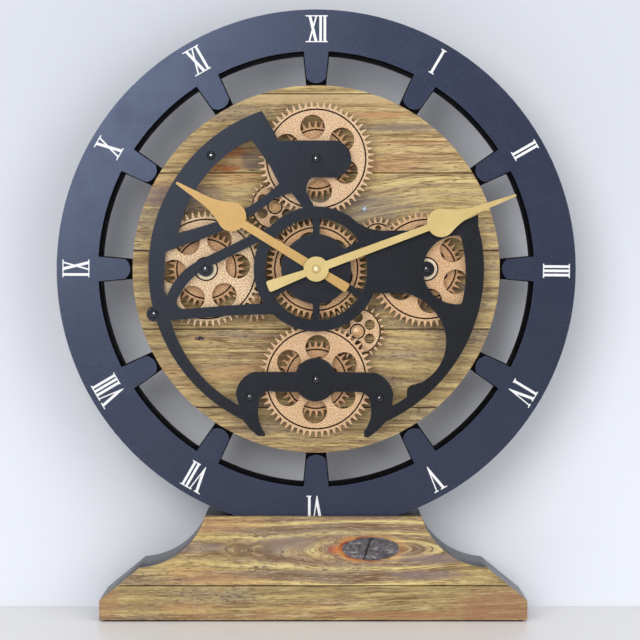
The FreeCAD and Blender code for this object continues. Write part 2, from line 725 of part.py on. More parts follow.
def make_plate_fasteners():
    face = size("plate_back") - size("plate_thickness")
    shank = size("plate_screw_radius")
    end = face + size("plate_screw_length")
    screw = turned_part("plate_screw_master", (0, face - 1.9),
                        ((2.1, face - 1.35), (3.1, face)), (shank, face), (shank, end),
                        (0, end + 0.8))
    places = [(x, 0, size("dial_height") + z) for x, z in plate_screw_spots()]
    group("plate_screws", screw, places)

    front = size("plate_back")
    disc = size("face_back")
    radius = size("post_radius")
    spigot = size("spigot_radius")
    post = turned_part("post_master", (0, front + 7), (shank, front + 6.2), (shank, front),
                       (radius, front), (radius, disc), (spigot, disc), (spigot, disc + 8),
                       (0, disc + 8))
    places = [(x, 0, size("dial_height") + z) for x, z in POST_SPOTS]
    group("plate_posts", post, places)


# ---------------------------------------------------------------- wheels on their axles

def make_axles():
    """Fixed axles for the four double wheels, with black collars under the plate."""
    front = size("plate_back")
    disc = size("face_back")
    shank = size("plate_screw_radius")
    radius = size("axle_radius")
    sleeve = size("sleeve_radius")
    spigot = size("spigot_radius")
    rest = size("gear_back") + 0.1
    axle = turned_part("axle_master", (0, front + 7), (shank, front + 6.2), (shank, front),
                       (radius, front), (radius, rest), (sleeve, rest), (sleeve, disc),
                       (spigot, disc), (spigot, disc + 8), (0, disc + 8))
    height = size("dial_height")
    places = []
    for index in range(len(WHEEL_NAMES)):
        x, z = wheel_spot(index)
        places.append((x, 0, height + z))
    group("wheel_axles", axle, places)
    wheel_face = size("wheel_back") - size("wheel_thickness")
    collar = turned_part("collar_master", (radius, front), (sleeve, front),
                         (sleeve, wheel_face - 0.1), (radius, wheel_face - 0.1))
    group("axle_collars", collar, places)


def make_idler_pins():
    """Shouldered pins with domed heads for the idlers that are not on the motor shaft."""
    disc = size("face_back")
    rest = size("gear_back") + 0.1
    gear_face = size("gear_back") - size("gear_thickness") - size("hub_raise") - 0.1
    pin = size("pin_radius")
    head = size("pin_head")
    spigot = size("spigot_radius")
    piece = turned_part("pin_master", (0, gear_face - 1.1),
                        ((2.2, gear_face - 0.78), (head, gear_face)), (pin, gear_face),
                        (pin, rest), (4.0, rest), (4.0, disc), (spigot, disc),
                        (spigot, disc + 8), (0, disc + 8))
    places = []
    for name, (x, z) in IDLER_SPOTS.items():
        if name != DRIVEN_IDLER:
            places.append((x, 0, size("dial_height") + z))
    group("idler_pins", piece, places)


CENTRE_HOLE_TURN = -14.0
FRONT_TURNS = {"north": 1.8, "east": 1.5, "south": 0.1, "west": -1.0}
FRONT_HOLE_TURNS = {"north": -6.5, "east": -6.5, "south": 2.5, "west": 25.0}


def make_centre_gear():
    gear = gear_body("centre_gear", CENTRE_TEETH, "bush_radius", 18.4, 8.0, CENTRE_HOLE_TURN,
                     [29.2], "Sizes.gear_thickness")
    bore = add_sketch(gear, "XZ_Plane")
    bore.addGeometry(Part.Circle(V(0, 0, 0), V(0, 0, 1), size("bush_radius") + 0.05), False)
    add_pocket(gear, bore, "Sizes.gear_thickness", towards_normal=True)
    keep(on_dial(gear, "Sizes.gear_back"))


def make_idlers():
    """Four idlers; returns the turn of each so that the rear wheels can mesh."""
    turns = {}
    for name, (teeth, _) in IDLERS.items():
        spot = IDLER_SPOTS[name]
        turns[name] = meshing_turn((0, 0), CENTRE_TEETH, 0.0, spot, teeth)
        large = teeth == LARGE_IDLER_TEETH
        line = 16.0 if large else 10.4
        hole_circle = 9.9 if large else 7.3
        hole_radius = 3.5 if large else 2.0
        bore = "pin_radius" if name == DRIVEN_IDLER else "pin_bore"
        hole_turn = 1.5 - turns[name]
        gear = gear_body("idler_" + name, teeth, bore, hole_circle, hole_radius, hole_turn,
                         [line], "Sizes.gear_thickness")
        raised_hub(gear, size(bore), 4.8, "Sizes.gear_thickness")
        keep(on_dial(gear, "Sizes.gear_back", *spot, turns[name]))
    return turns


def make_double_wheels(idler_turns):
    """Each axle carries a large front wheel on the sleeve of a smaller rear wheel."""
    partners = {"south": "lower_right", "north": "upper_left",
                "east": "upper_right", "west": "lower_left"}
    for index, name in enumerate(WHEEL_NAMES):
        spot = wheel_spot(index)
        idler = partners[name]
        turn = meshing_turn(IDLER_SPOTS[idler], IDLERS[idler][0], idler_turns[idler],
                            spot, REAR_TEETH)
        rear = gear_body("rear_wheel_" + name, REAR_TEETH, "axle_bore", 12.2, 3.5,
                         20.0, [20.8], "Sizes.gear_thickness")
        steps = (("shoulder_radius", "Sizes.gear_thickness",
                  "Sizes.gear_back - Sizes.gear_thickness - Sizes.wheel_back"),
                 ("sleeve_radius", "Sizes.gear_back - Sizes.wheel_back",
                  "Sizes.wheel_thickness"))
        for radius, start, length in steps:
            sketch = add_sketch(rear, "XZ_Plane", start)
            add_circle(sketch, radius)
            add_circle(sketch, "axle_bore")
            add_pad(rear, sketch, length)
        keep(on_dial(rear, "Sizes.gear_back", *spot, turn))

        front_turn = FRONT_TURNS[name]
        hole_turn = FRONT_HOLE_TURNS[name] - front_turn
        front = gear_body("front_wheel_" + name, BIG_TEETH, "sleeve_radius", 22.5, 8.5,
                          hole_turn, [34.8, 8.0], "Sizes.wheel_thickness")
        raised_hub(front, size("sleeve_radius") + 0.4, 7.4, "Sizes.wheel_thickness")
        keep(on_dial(front, "Sizes.wheel_back", *spot, front_turn))


# ---------------------------------------------------------------- hands

MINUTE_TURN = 69.7
HOUR_TURN = 301.7


def minute_curves():
    """Spade hand: flared tail, round hub, straight arm, spade and a long slim tip."""
    return outline((-2.3, -36.0), ((-3.55, -35.5), (-4.0, -34.2)), (-2.4, -8.4),
                   ((-8.7, 0), (-2.9, 8.2)), (-2.3, 83.3),
                   ((-9.4, 89.6), (-8.6, 97.5)), ((-4.2, 108.0), (-2.4, 121.0)),
                   (-0.8, 148.0), ((0, 148.6), (0.8, 148.0)), (2.4, 121.0),
                   ((4.2, 108.0), (8.6, 97.5)), ((9.4, 89.6), (2.3, 83.3)), (2.9, 8.2),
                   ((8.7, 0), (2.4, -8.4)), (4.0, -34.2), ((3.55, -35.5), (2.3, -36.0)))


def hour_curves():
    return outline((-1.7, -25.8), ((-2.9, -25.3), (-3.35, -24.1)), (-2.9, -8.2),
                   ((-8.7, 0), (-3.2, 8.1)), (-2.8, 59.6),
                   ((-9.8, 66.5), (-8.7, 74.5)), ((-4.8, 84.0), (-3.0, 93.0)),
                   (-0.9, 114.4), ((0, 115.0), (0.9, 114.4)), (3.0, 93.0),
                   ((4.8, 84.0), (8.7, 74.5)), ((9.8, 66.5), (2.8, 59.6)), (3.2, 8.1),
                   ((8.7, 0), (2.9, -8.2)), (3.35, -24.1), ((2.9, -25.3), (1.7, -25.8)))


def make_hands():
    minute = flat_part("minute_hand", minute_curves(), "Sizes.hand_thickness",
                       [("arbor_radius",)])
    keep(on_dial(minute, "Sizes.minute_hand_back", turn=MINUTE_TURN))
    hour = flat_part("hour_hand", hour_curves(), "Sizes.hand_thickness", [("tube_radius",)])
    keep(on_dial(hour, "Sizes.hour_hand_back", turn=HOUR_TURN))

    inside = size("movement_front") + 4
    hand_face = size("minute_hand_back") - size("hand_thickness")
    arbor = size("arbor_radius")
    arbor_piece = turned_part("minute_arbor", (0, inside), (0, hand_face - 1.0),
                              (arbor, hand_face - 1.0), (arbor, inside))
    keep(on_dial(arbor_piece, "0"))
    nut = turned_part("hand_nut", (0, hand_face - 1.0), (0, hand_face - 2.4),
                      ((2.1, hand_face - 1.9), (3.0, hand_face)), (arbor, hand_face),
                      (arbor, hand_face - 1.0))
    keep(on_dial(nut, "0"))
    hour_face = size("hour_hand_back") - size("hand_thickness")
    tube_bore = size("tube_bore")
    tube = size("tube_radius")
    tube_piece = turned_part("hour_tube", (tube_bore, inside + 0.3), (tube_bore, hour_face),
                             (tube, hour_face), (tube, inside + 0.3))
    keep(on_dial(tube_piece, "0"))


# ---------------------------------------------------------------- quartz movement

def rounded_square(half_x, half_y, corner, x=0.0, y=0.0):
    """Rectangle with round corners about a point."""
    bend = corner * (1 - math.sqrt(0.5))
    left, right = x - half_x, x + half_x
    low, high = y - half_y, y + half_y
    return outline((left + corner, low), (right - corner, low),
                   ((right - bend, low + bend), (right, low + corner)),
                   (right, high - corner), ((right - bend, high - bend),
                                            (right - corner, high)),
                   (left + corner, high), ((left + bend, high - bend),
                                           (left, high - corner)),
                   (left, low + corner), ((left + bend, low + bend), (left + corner, low)))


def make_movement():
    half = size("movement_side") / 2
    case = flat_part("movement_case", rounded_square(half, half, 4.0), "Sizes.movement_depth")
    bay = add_sketch(case, "XZ_Plane")
    bay.addGeometry(rounded_square(26.0, 7.7, 0.5, y=-18.5), False)
    add_pocket(case, bay, "14.6", towards_normal=True)
    axis_hole = add_sketch(case, "XZ_Plane", "Sizes.movement_depth")
    axis_hole.addGeometry(Part.Circle(V(0, 0, 0), V(0, 0, 1), 3.2), False)
    add_pocket(case, axis_hole, "5")
    knob_hole = add_sketch(case, "XZ_Plane")
    knob_hole.addGeometry(Part.Circle(V(0, 2, 0), V(0, 0, 1), 1.6), False)
    add_pocket(case, knob_hole, "4", towards_normal=True)
    keep(on_dial(case, "Sizes.movement_front + Sizes.movement_depth"))

    outer = size("bush_radius")
    bore = size("bush_bore")
    back = size("movement_front")
    bush = turned_part("hand_bush", (bore, back), (bore, size("bush_front")),
                       (outer - 0.4, size("bush_front")), (outer, size("bush_front") + 0.4),
                       (outer, back))
    keep(on_dial(bush, "0"))

    washer = turned_part("rubber_washer", (outer, back), (14.0, back), (14.0, back - 1.0),
                         (outer, back - 1.0))
    keep(on_dial(washer, "0"))

    corners = [clock_point(size("nut_radius"), 60 * corner) for corner in range(6)]
    nut = flat_part("bush_nut", outline(corners[0], *corners[1:]), "Sizes.nut_thickness",
                    [("bush_radius",)])
    keep(on_dial(nut, "Sizes.face_back"))

    gear_face = size("gear_back") - size("gear_thickness")
    collar = turned_part("centre_collar", (outer, gear_face - 0.3), (outer, gear_face - 2.3),
                         (size("collar_radius"), gear_face - 2.3),
                         (size("collar_radius"), gear_face - 0.3))
    keep(on_dial(collar, "0"))

    rear = size("movement_front") + size("movement_depth")
    knob = turned_part("set_knob", (0, rear - 3.5), (1.5, rear - 3.5), (1.5, rear + 0.4),
                       (size("knob_radius"), rear + 0.4), (size("knob_radius"), rear + 4.0),
                       (size("knob_radius") - 0.6, rear + 4.6), (0, rear + 4.6))
    doc.recompute()
    notch = add_sketch(knob, "XZ_Plane", "%.3f" % -(rear + 6))
    notch.addGeometry(Part.Circle(V(0, size("knob_radius"), 0), V(0, 0, 1), 0.7), False)
    cut = add_pocket(knob, notch, "5.8", towards_normal=True)
    knurl = knob.newObject("PartDesign::PolarPattern", "set_knob_knurl")
    knurl.Originals = [cut]
    knurl.Axis = (notch, ["N_Axis"])
    knurl.Angle = 360
    knurl.Occurrences = 16
    knob.Tip = knurl
    keep(on_dial(knob, "0", z=2.0))


def cell_profile(length):
    """Half profile of a dry cell with its raised contact, along the turning axis."""
    radius = size("cell_radius")
    return [(0, 0), (radius - 0.4, 0), (radius, 0.4), (radius, length - 1.6),
            (radius - 0.5, length - 1.1), (2.7, length - 1.1), (2.7, length), (0, length)]


def make_cells():
    """One cell for the hands and two for the wheels, lying along X."""
    profile = cell_profile(size("cell_length"))
    master = turned_part("cell_master", profile[0], *profile[1:])
    lay_across = FreeCAD.Placement(V(0, 0, 0), FreeCAD.Rotation(V(0, 0, 1), -90))
    doc.recompute()
    height = size("dial_height")
    lying = master.Shape.copy()
    lying.Placement = lay_across.multiply(lying.Placement)
    movement_cell = doc.addObject("Part::Feature", "movement_cell")
    movement_cell.Label = "movement_cell"
    movement_cell.Shape = lying
    rear = size("movement_front") + size("movement_depth")
    movement_cell.Placement = FreeCAD.Placement(
        V(-size("cell_length") / 2, rear - 7.3, height - 18.5), lay_across.Rotation)
    keep(movement_cell)
    x, z = HOLDER_CENTRE
    for number, side in enumerate((-1, 1), start=1):
        cell = doc.addObject("Part::Feature", "gear_cell_%d" % number)
        cell.Label = "gear_cell_%d" % number
        cell.Shape = lying
        cell.Placement = FreeCAD.Placement(
            V(x - size("cell_length") / 2, -13.0 + 8.6, height + z + side * 7.5),
            lay_across.Rotation)
        keep(cell)


# ---------------------------------------------------------------- gear motor and its power

HOLDER_CENTRE = (38.0, 52.5)
SWITCH_CENTRE = (60.0, -50.0)


def make_motor():
    x, z = IDLER_SPOTS[DRIVEN_IDLER]
    wall = "Sizes.face_back + Sizes.plank_thickness + Sizes.backer_thickness"
    bracket = flat_part("motor_bracket", rounded_square(24.0, 14.5, 3.0),
                        "Sizes.bracket_thickness")
    hole = add_sketch(bracket, "XZ_Plane")
    reach = size("bracket_screw_reach")
    screw_hole = size("bracket_screw_radius") + 0.1
    for across, radius in ((0, 3.5), (-reach, screw_hole), (reach, screw_hole)):
        hole.addGeometry(Part.Circle(V(across, 0, 0), V(0, 0, 1), radius), False)
    add_pocket(bracket, hole, "Sizes.bracket_thickness", towards_normal=True)
    keep(on_dial(bracket, wall + " + Sizes.bracket_thickness", x, z))

    front = "Sizes.movement_front"
    middle = front + " + Sizes.gearbox_depth"
    gearbox = doc.addObject("Part::Cut", "motor_gearbox")
    gearbox.Label = "motor_gearbox"
    gearbox.Base = cylinder("gearbox_case", "Sizes.gearbox_radius", front, middle, x, z)
    gearbox.Tool = cylinder("gearbox_bore", "Sizes.pin_bore", front, middle, x, z)
    keep(gearbox)

    motor = cylinder("motor_can", "Sizes.motor_radius", middle,
                     middle + " + Sizes.motor_depth", x, z)
    motor.Label = "motor_can"
    keep(motor)

    gear_face = size("gear_back") - size("gear_thickness") - size("hub_raise")
    inner_end = size("movement_front") + size("gearbox_depth") - 0.5
    radius = size("pin_radius")
    shaft = turned_part("motor_shaft", (0, inner_end), (0, gear_face - 1.2),
                        ((2.2, gear_face - 0.86), (size("pin_head"), gear_face)),
                        (radius, gear_face), (radius, inner_end))
    keep(on_dial(shaft, "0", x, z))

    face = size("movement_front")
    shank = size("bracket_screw_radius")
    screw = turned_part("bracket_screw_master", (0, face - 5), (shank, face - 4.2),
                        (shank, face), (2.8, face), (2.8, face + 0.7), (1.8, face + 1.4),
                        (0, face + 1.4))
    places = []
    for across in (-reach, reach):
        places.append((x + across, 0, size("dial_height") + z))
    group("bracket_screws", screw, places)


def make_holder():
    """Open battery tray behind the disc, with its floor against the wood."""
    x, z = HOLDER_CENTRE
    half_long = size("holder_length") / 2
    half_wide = size("holder_width") / 2
    wall = "Sizes.face_back + Sizes.plank_thickness + Sizes.backer_thickness"
    tray = flat_part("battery_holder", rounded_square(half_long, half_wide, 2.0),
                     "Sizes.holder_depth")
    bay = add_sketch(tray, "XZ_Plane")
    bay.addGeometry(rounded_square(half_long - 2.5, half_wide - 1.2, 0.8), False)
    add_pocket(tray, bay, "Sizes.holder_depth - 1.4", towards_normal=True)
    holes = add_sketch(tray, "XZ_Plane")
    for screw_x, screw_z in HOLDER_SCREW_SPOTS:
        holes.addGeometry(Part.Circle(V(screw_x - x, screw_z - z, 0), V(0, 0, 1),
                                      size("disc_screw_radius")), False)
    add_pocket(tray, holes, "Sizes.holder_depth", towards_normal=True)
    keep(on_dial(tray, wall + " + Sizes.holder_depth", x, z))


def make_switch():
    x, z = SWITCH_CENTRE
    wall = "Sizes.face_back + Sizes.plank_thickness + Sizes.backer_thickness"
    case = flat_part("switch_case", rounded_square(8.0, 4.0, 0.8), "7")
    slot = add_sketch(case, "XZ_Plane")
    slot.addGeometry(rounded_square(4.5, 1.8, 0.2), False)
    add_pocket(case, slot, "3", towards_normal=True)
    keep(on_dial(case, wall + " + 7", x, z))
    slider = flat_part("switch_slider", rounded_square(2.2, 1.5, 0.2), "5")
    keep(on_dial(slider, wall + " + 9.2", x - 2.0, z))


def lead_path(points, bend):
    """Straight runs joined by tangent arcs of one radius."""
    edges = []
    here = V(*points[0])
    for index in range(1, len(points) - 1):
        corner = V(*points[index])
        before = (V(*points[index - 1]) - corner).normalize()
        after = (V(*points[index + 1]) - corner).normalize()
        half_angle = before.getAngle(after) / 2
        reach = bend / math.tan(half_angle)
        start = corner + before * reach
        end = corner + after * reach
        inward = (before + after).normalize()
        middle = corner + inward * (bend / math.sin(half_angle) - bend)
        edges.append(Part.LineSegment(here, start).toShape())
        edges.append(Part.Arc(start, middle, end).toShape())
        here = end
    edges.append(Part.LineSegment(here, V(*points[-1])).toShape())
    return Part.Wire(edges)


def make_leads():
    """Insulated leads along the back of the disc, clipped between holder, switch and motor."""
    height = size("dial_height")
    board = size("face_back") + size("plank_thickness") + size("backer_thickness")
    deep = board + 2.0
    motor_x, motor_z = IDLER_SPOTS[DRIVEN_IDLER]
    aside = 4.0
    inner_edge = aside - size("lead_radius")
    rise = math.sqrt(size("motor_radius") ** 2 - inner_edge ** 2)
    drop_x = motor_x + aside
    above = height + 66.0
    holder_left = HOLDER_CENTRE[0] - size("holder_length") / 2
    holder_low = height + HOLDER_CENTRE[1] - size("holder_width") / 2
    switch_x, switch_z = SWITCH_CENTRE
    routes = {
        "lead_motor": [(holder_left, deep, height + 64.0), (drop_x, deep, above),
                       (drop_x, 6.0, above), (drop_x, 6.0, height + motor_z + rise)],
        "lead_switch": [(60.0, deep, holder_low), (63.0, deep, height + 8.0),
                        (switch_x, deep, height + switch_z + 4.0)],
    }
    for label, points in routes.items():
        path = lead_path(points, 4.0)
        along = V(*points[1]) - V(*points[0])
        circle = Part.Circle(V(*points[0]), along, size("lead_radius"))
        lead = doc.addObject("Part::Feature", label)
        lead.Label = label
        lead.Shape = path.makePipeShell([Part.Wire(circle.toShape())], True, False)
        keep(lead)


# ---------------------------------------------------------------- build and write

def check_objects():
    for item in doc.Objects:
        broken = {"Invalid", "Error"} & set(item.State)
        if broken:
            raise RuntimeError("%s is %s" % (item.Label, ", ".join(broken)))
    for item in nodes:
        if item.Shape.isNull() or not item.Shape.isValid():
            raise RuntimeError("%s has no valid shape" % item.Label)


def write_nodes():
    os.makedirs("parts", exist_ok=True)
    for item in nodes:
        item.Shape.exportStep("parts/%s.step" % item.Label)
        print("%-22s %2d solids %10.1f mm3" % (item.Label, len(item.Shape.Solids),
                                               item.Shape.Volume))
    print(len(nodes), "nodes")


make_base()
make_base_screws()
make_ring()
make_numerals()
make_disc()
make_disc_fasteners()
make_plate()
make_plate_fasteners()
make_axles()
make_idler_pins()
make_centre_gear()
make_double_wheels(make_idlers())
make_hands()
make_movement()
make_cells()
make_motor()
make_holder()
make_switch()
make_leads()
doc.recompute()
check_objects()
write_nodes()
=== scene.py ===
import json
import math

import bpy
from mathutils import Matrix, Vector


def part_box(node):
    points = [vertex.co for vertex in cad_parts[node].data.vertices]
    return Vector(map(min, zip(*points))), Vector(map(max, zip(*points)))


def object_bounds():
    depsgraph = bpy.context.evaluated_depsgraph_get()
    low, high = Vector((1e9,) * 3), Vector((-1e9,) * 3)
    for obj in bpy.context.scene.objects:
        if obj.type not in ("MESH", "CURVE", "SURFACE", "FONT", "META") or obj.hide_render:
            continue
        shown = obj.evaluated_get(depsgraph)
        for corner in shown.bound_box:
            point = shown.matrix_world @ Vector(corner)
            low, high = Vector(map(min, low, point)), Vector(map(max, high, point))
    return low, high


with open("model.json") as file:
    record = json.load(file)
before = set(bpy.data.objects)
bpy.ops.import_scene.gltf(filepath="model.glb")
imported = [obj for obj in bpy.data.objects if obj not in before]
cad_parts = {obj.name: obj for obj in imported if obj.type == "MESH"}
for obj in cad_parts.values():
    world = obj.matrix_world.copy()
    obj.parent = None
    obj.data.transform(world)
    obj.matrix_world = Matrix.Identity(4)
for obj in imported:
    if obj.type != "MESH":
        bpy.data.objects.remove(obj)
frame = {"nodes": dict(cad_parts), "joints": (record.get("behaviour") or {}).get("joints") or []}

cad_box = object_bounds()
nodes = frame["nodes"]
MM = 0.001


# ---------------------------------------------------------------- shader building

def tone(red, green, blue):
    """A screen colour from 0 to 255 as the linear colour that shader sockets take."""
    def linear(value):
        share = value / 255
        return share / 12.92 if share <= 0.04045 else ((share + 0.055) / 1.055) ** 2.4
    return (linear(red), linear(green), linear(blue), 1.0)


class Surface:
    """A material being made: its node tree, and short calls that add the nodes."""

    def __init__(self, name):
        self.material = bpy.data.materials.new(name)
        self.material.use_nodes = True
        self.tree = self.material.node_tree
        self.shader = self.tree.nodes["Principled BSDF"]
        self.place = self.add("TexCoord").outputs["Object"]

    def add(self, kind, values=None, **settings):
        """A new node of this kind, with its sockets filled from values and its settings made."""
        added = self.tree.nodes.new("ShaderNode" + kind)
        for key, value in settings.items():
            setattr(added, key, value)
        for socket, value in (values or {}).items():
            self.fill(added.inputs[socket], value)
        return added

    def fill(self, socket, value):
        """Links the socket to another node's output, or sets it to a constant."""
        if isinstance(value, bpy.types.NodeSocket):
            self.tree.links.new(value, socket)
        else:
            socket.default_value = value

    def maths(self, operation, first, second=0.0):
        """One of Blender's sums of two values."""
        return self.add("Math", {0: first, 1: second}, operation=operation).outputs[0]

    def plus(self, first, second):
        return self.maths("ADD", first, second)

    def minus(self, first, second):
        return self.maths("SUBTRACT", first, second)

    def times(self, first, second):
        return self.maths("MULTIPLY", first, second)

    def absolute(self, value):
        """Value without its sign."""
        return self.maths("ABSOLUTE", value)

    def length(self, first, second):
        """Length of the line whose legs are the first and the second value."""
        return self.maths("SQRT", self.plus(self.times(first, first), self.times(second, second)))

    def axis(self, place, letter):
        """The X, Y or Z of a place."""
        return self.add("SeparateXYZ", {0: place}).outputs["XYZ".index(letter)]

    def join(self, x, y, z):
        return self.add("CombineXYZ", {0: x, 1: y, 2: z}).outputs[0]

    def noise(self, place, scale, detail=3.0, roughness=0.55, distortion=0.0):
        values = {"Vector": place, "Scale": scale, "Detail": detail, "Roughness": roughness,
                  "Distortion": distortion}
        return self.add("TexNoise", values).outputs["Fac"]

    def streaks(self, place, scales, detail, roughness=0.55, shift=(0, 0, 0)):
        """Noise with its own scale along X, Y and Z, moved by the shift."""
        mapped = self.add("Mapping", {"Vector": place, "Location": shift, "Scale": scales})
        return self.noise(mapped.outputs[0], 1.0, detail, roughness)

    def cells(self, place, scale):
        """Distance to the middle of the nearest cell of a random pattern."""
        return self.add("TexVoronoi", {"Vector": place, "Scale": scale}).outputs["Distance"]

    def band(self, value, low, high, start=0.0, end=1.0):
        """Value taken smoothly from low..high to start..end, and held outside."""
        values = {0: value, 1: low, 2: high, 3: start, 4: end}
        return self.add("MapRange", values, interpolation_type="SMOOTHSTEP").outputs[0]

    def mix(self, factor, first, second):
        """The first colour where the factor is 0, and the second where it is 1."""
        return self.add("Mix", {0: factor, 6: first, 7: second}, data_type="RGBA").outputs[2]

    def ramp(self, factor, *stops):
        """Colours that blend from one (position, colour) stop to the next."""
        added = self.add("ValToRGB", {0: factor})
        elements = added.color_ramp.elements
        while len(elements) < len(stops):
            elements.new(0.5)
        for element, (position, colour) in zip(elements, stops):
            element.position = position
            element.color = colour
        return added.outputs[0]

    def bump(self, height, depth, strength, below=None):
        """A relief of this depth in metres, laid over the relief below."""
        values = {"Height": height, "Distance": depth, "Strength": strength}
        if below:
            values["Normal"] = below
        return self.add("Bump", values).outputs[0]

    def edges(self, radius):
        """1 at sharp outer edges and corners within the radius, and 0 on flat faces."""
        rounded = self.add("Bevel", {"Radius": radius}, samples=4).outputs[0]
        plain = self.add("NewGeometry").outputs["Normal"]
        added = self.add("VectorMath", {0: rounded, 1: plain}, operation="DOT_PRODUCT")
        return self.band(added.outputs["Value"], 0.995, 0.80)

    def finish(self, colour, roughness, normal, **constants):
        """Fills the shader, with the constants on its own sockets, and returns the material."""
        self.fill(self.shader.inputs["Base Color"], colour)
        self.fill(self.shader.inputs["Roughness"], roughness)
        self.fill(self.shader.inputs["Normal"], normal)
        for key, value in constants.items():
            self.shader.inputs[key.replace("_", " ")].default_value = value
        return self.material


# ---------------------------------------------------------------- wood

WOOD_TONES = (tone(124, 98, 64), tone(166, 141, 96), tone(190, 168, 122), tone(200, 172, 112))
PALE_TONES = (tone(134, 110, 72), tone(178, 155, 104), tone(204, 183, 130), tone(212, 186, 118))
BASE_TONES = (tone(104, 84, 64), tone(150, 128, 84), tone(180, 158, 104), tone(204, 178, 92))
RED_TONES = (tone(124, 98, 68), tone(150, 130, 86), tone(168, 150, 100), tone(176, 158, 98))
CREAM_WOOD = tone(216, 194, 144)
LINE_BROWN = tone(112, 82, 54)
GREY_WOOD = tone(150, 136, 116)
WARM_WOOD = tone(196, 144, 100)
BAND_CREAM = tone(232, 214, 158)
BAND_YELLOW = tone(212, 186, 112)
BAND_GREY = tone(156, 138, 120)
BAND_BROWN = tone(124, 98, 82)
PEPPER = tone(104, 84, 78)
DARK_FLECK = tone(84, 62, 46)
AMBER_RIM = tone(206, 142, 66)
RED_RIM = tone(132, 44, 30)
DARK_KNOT = tone(44, 38, 42)
GREY_KNOT = tone(98, 94, 98)
PALE_KNOT = tone(176, 172, 170)
CRACK = tone(24, 18, 20)
RUST = tone(150, 78, 34)
GREY_STAIN = tone(128, 116, 108)
DARK_STAIN = tone(94, 86, 86)
PURPLE_STAIN = tone(130, 112, 112)
PALE_STAIN = tone(194, 170, 128)
ORANGE_STAIN = tone(178, 132, 90)
BROWN_STAIN = tone(146, 98, 64)
BROWN_GREY_STAIN = tone(142, 124, 110)
RED_STAIN = tone(170, 78, 62)

# Noise scales along X, Y and Z. The grain runs along X, so the marks are stretched that way.
DRIFT = (6, 6, 26)
BROAD = (6, 30, 200)
GRAIN = (32, 300, 760)
FIBRE = (150, 900, 1900)
THREADS = (11, 60, 430)
THREAD_GAPS = (30, 60, 90)
DASHES = (150, 500, 1700)
BAND_STRAY = (5, 10, 70)
BAND_PLACES = (9, 10, 46)
GREY_PATCHES = (10, 20, 46)
WARM_PATCHES = (8, 20, 40)
PEPPER_DOTS = (260, 520, 1300)
RESIN_BLOTCHES = (90, 90, 160)
KNOT_GRAINS = (420, 420, 620)
KNOT_STREAKS = (70, 70, 620)

BANDS_PER_METRE = 290
BAND_SWAY = 3.2
NATURAL_BASE = 2.718


def grain_height(s, heart, reach, swell, lean):
    """Distance across the grain. The growth lines part around the heart, a point (x, z).

    A share of the plain height is added as well, so that the pattern isn't level with a heart that
    lies in the board. lean is that share.
    """
    along = s.minus(s.axis(s.place, "X"), heart[0])
    across = s.minus(s.axis(s.place, "Z"), heart[1])
    share = s.maths("DIVIDE", along, reach)
    near = s.maths("POWER", NATURAL_BASE, s.times(s.times(share, share), -1.0))
    swollen = s.times(s.minus(1.0, near), swell)
    return s.plus(s.length(swollen, across), s.times(across, lean))


def spot(s, centre, size, ragged):
    """0 at the centre of an oval of half-size (x, z), about 1 at its ragged rim, more outside."""
    x = s.maths("DIVIDE", s.minus(s.axis(s.place, "X"), centre[0]), size[0])
    z = s.maths("DIVIDE", s.minus(s.axis(s.place, "Z"), centre[1]), size[1])
    return s.plus(s.length(x, z), ragged)


def wood(name, shift, heart, reach, swell, knots, stains, palette, wander, contrast, lean=0.0):
    """Weathered softwood board with the grain along X.

    shift moves the pattern, so that no two boards match. The growth lines part around the heart
    over the reach, by the swell. knots are (centre, size) pairs, and stains are (centre, size,
    colour) triples. wander is how far the grain strays. contrast is the strength of the growth
    bands, and lean is described at grain_height. Places, sizes and wander are in metres.
    """
    s = Surface(name)
    dark, olive, pale, yellow = palette
    drift = s.streaks(s.place, DRIFT, 4.0, shift=shift)
    lift = s.times(s.minus(drift, 0.5), wander)
    height = s.plus(grain_height(s, heart, reach, swell, lean), lift)
    flow = s.join(s.axis(s.place, "X"), s.axis(s.place, "Y"), height)

    broad = s.streaks(flow, BROAD, 5.0, 0.62, shift)
    grain = s.streaks(flow, GRAIN, 5.0, 0.72, shift)
    fibre = s.streaks(flow, FIBRE, 3.0, 0.6, shift)
    colour = s.ramp(broad, (0.30, dark), (0.43, olive), (0.56, pale), (0.70, yellow))
    colour = growth_bands(s, colour, flow, height, shift, contrast)
    colour = s.mix(s.band(grain, 0.49, 0.33, 0.0, 0.85), colour, dark)
    colour = s.mix(s.band(grain, 0.53, 0.68, 0.0, 0.70), colour, CREAM_WOOD)
    colour = s.mix(s.band(fibre, 0.46, 0.32, 0.0, 0.75), colour, dark)
    colour = s.mix(s.band(fibre, 0.55, 0.68, 0.0, 0.55), colour, CREAM_WOOD)
    colour = weathering(s, colour, flow, shift)
    colour, sunk = fine_marks(s, colour, flow, shift)

    ragged = s.times(s.minus(s.noise(s.place, 160, 4.0), 0.5), 0.9)
    for centre, size, stain in stains:
        inside = s.band(spot(s, centre, size, ragged), 0.45, 1.15, 0.85, 0.0)
        streaked = s.times(inside, s.band(grain, 0.62, 0.34, 0.60, 1.0))
        colour = s.mix(streaked, colour, stain)
    for centre, size in knots:
        colour, inside = knot(s, colour, centre, size, ragged, shift)
        sunk = s.maths("MAXIMUM", sunk, inside)

    relief = s.bump(sunk, -0.00016, 0.7)
    relief = s.bump(grain, 0.00022, 0.6, relief)
    relief = s.bump(fibre, 0.00010, 0.6, relief)
    roughness = s.band(grain, 0.3, 0.7, 0.68, 0.52)
    return s.finish(colour, roughness, relief, Specular_IOR_Level=0.35)


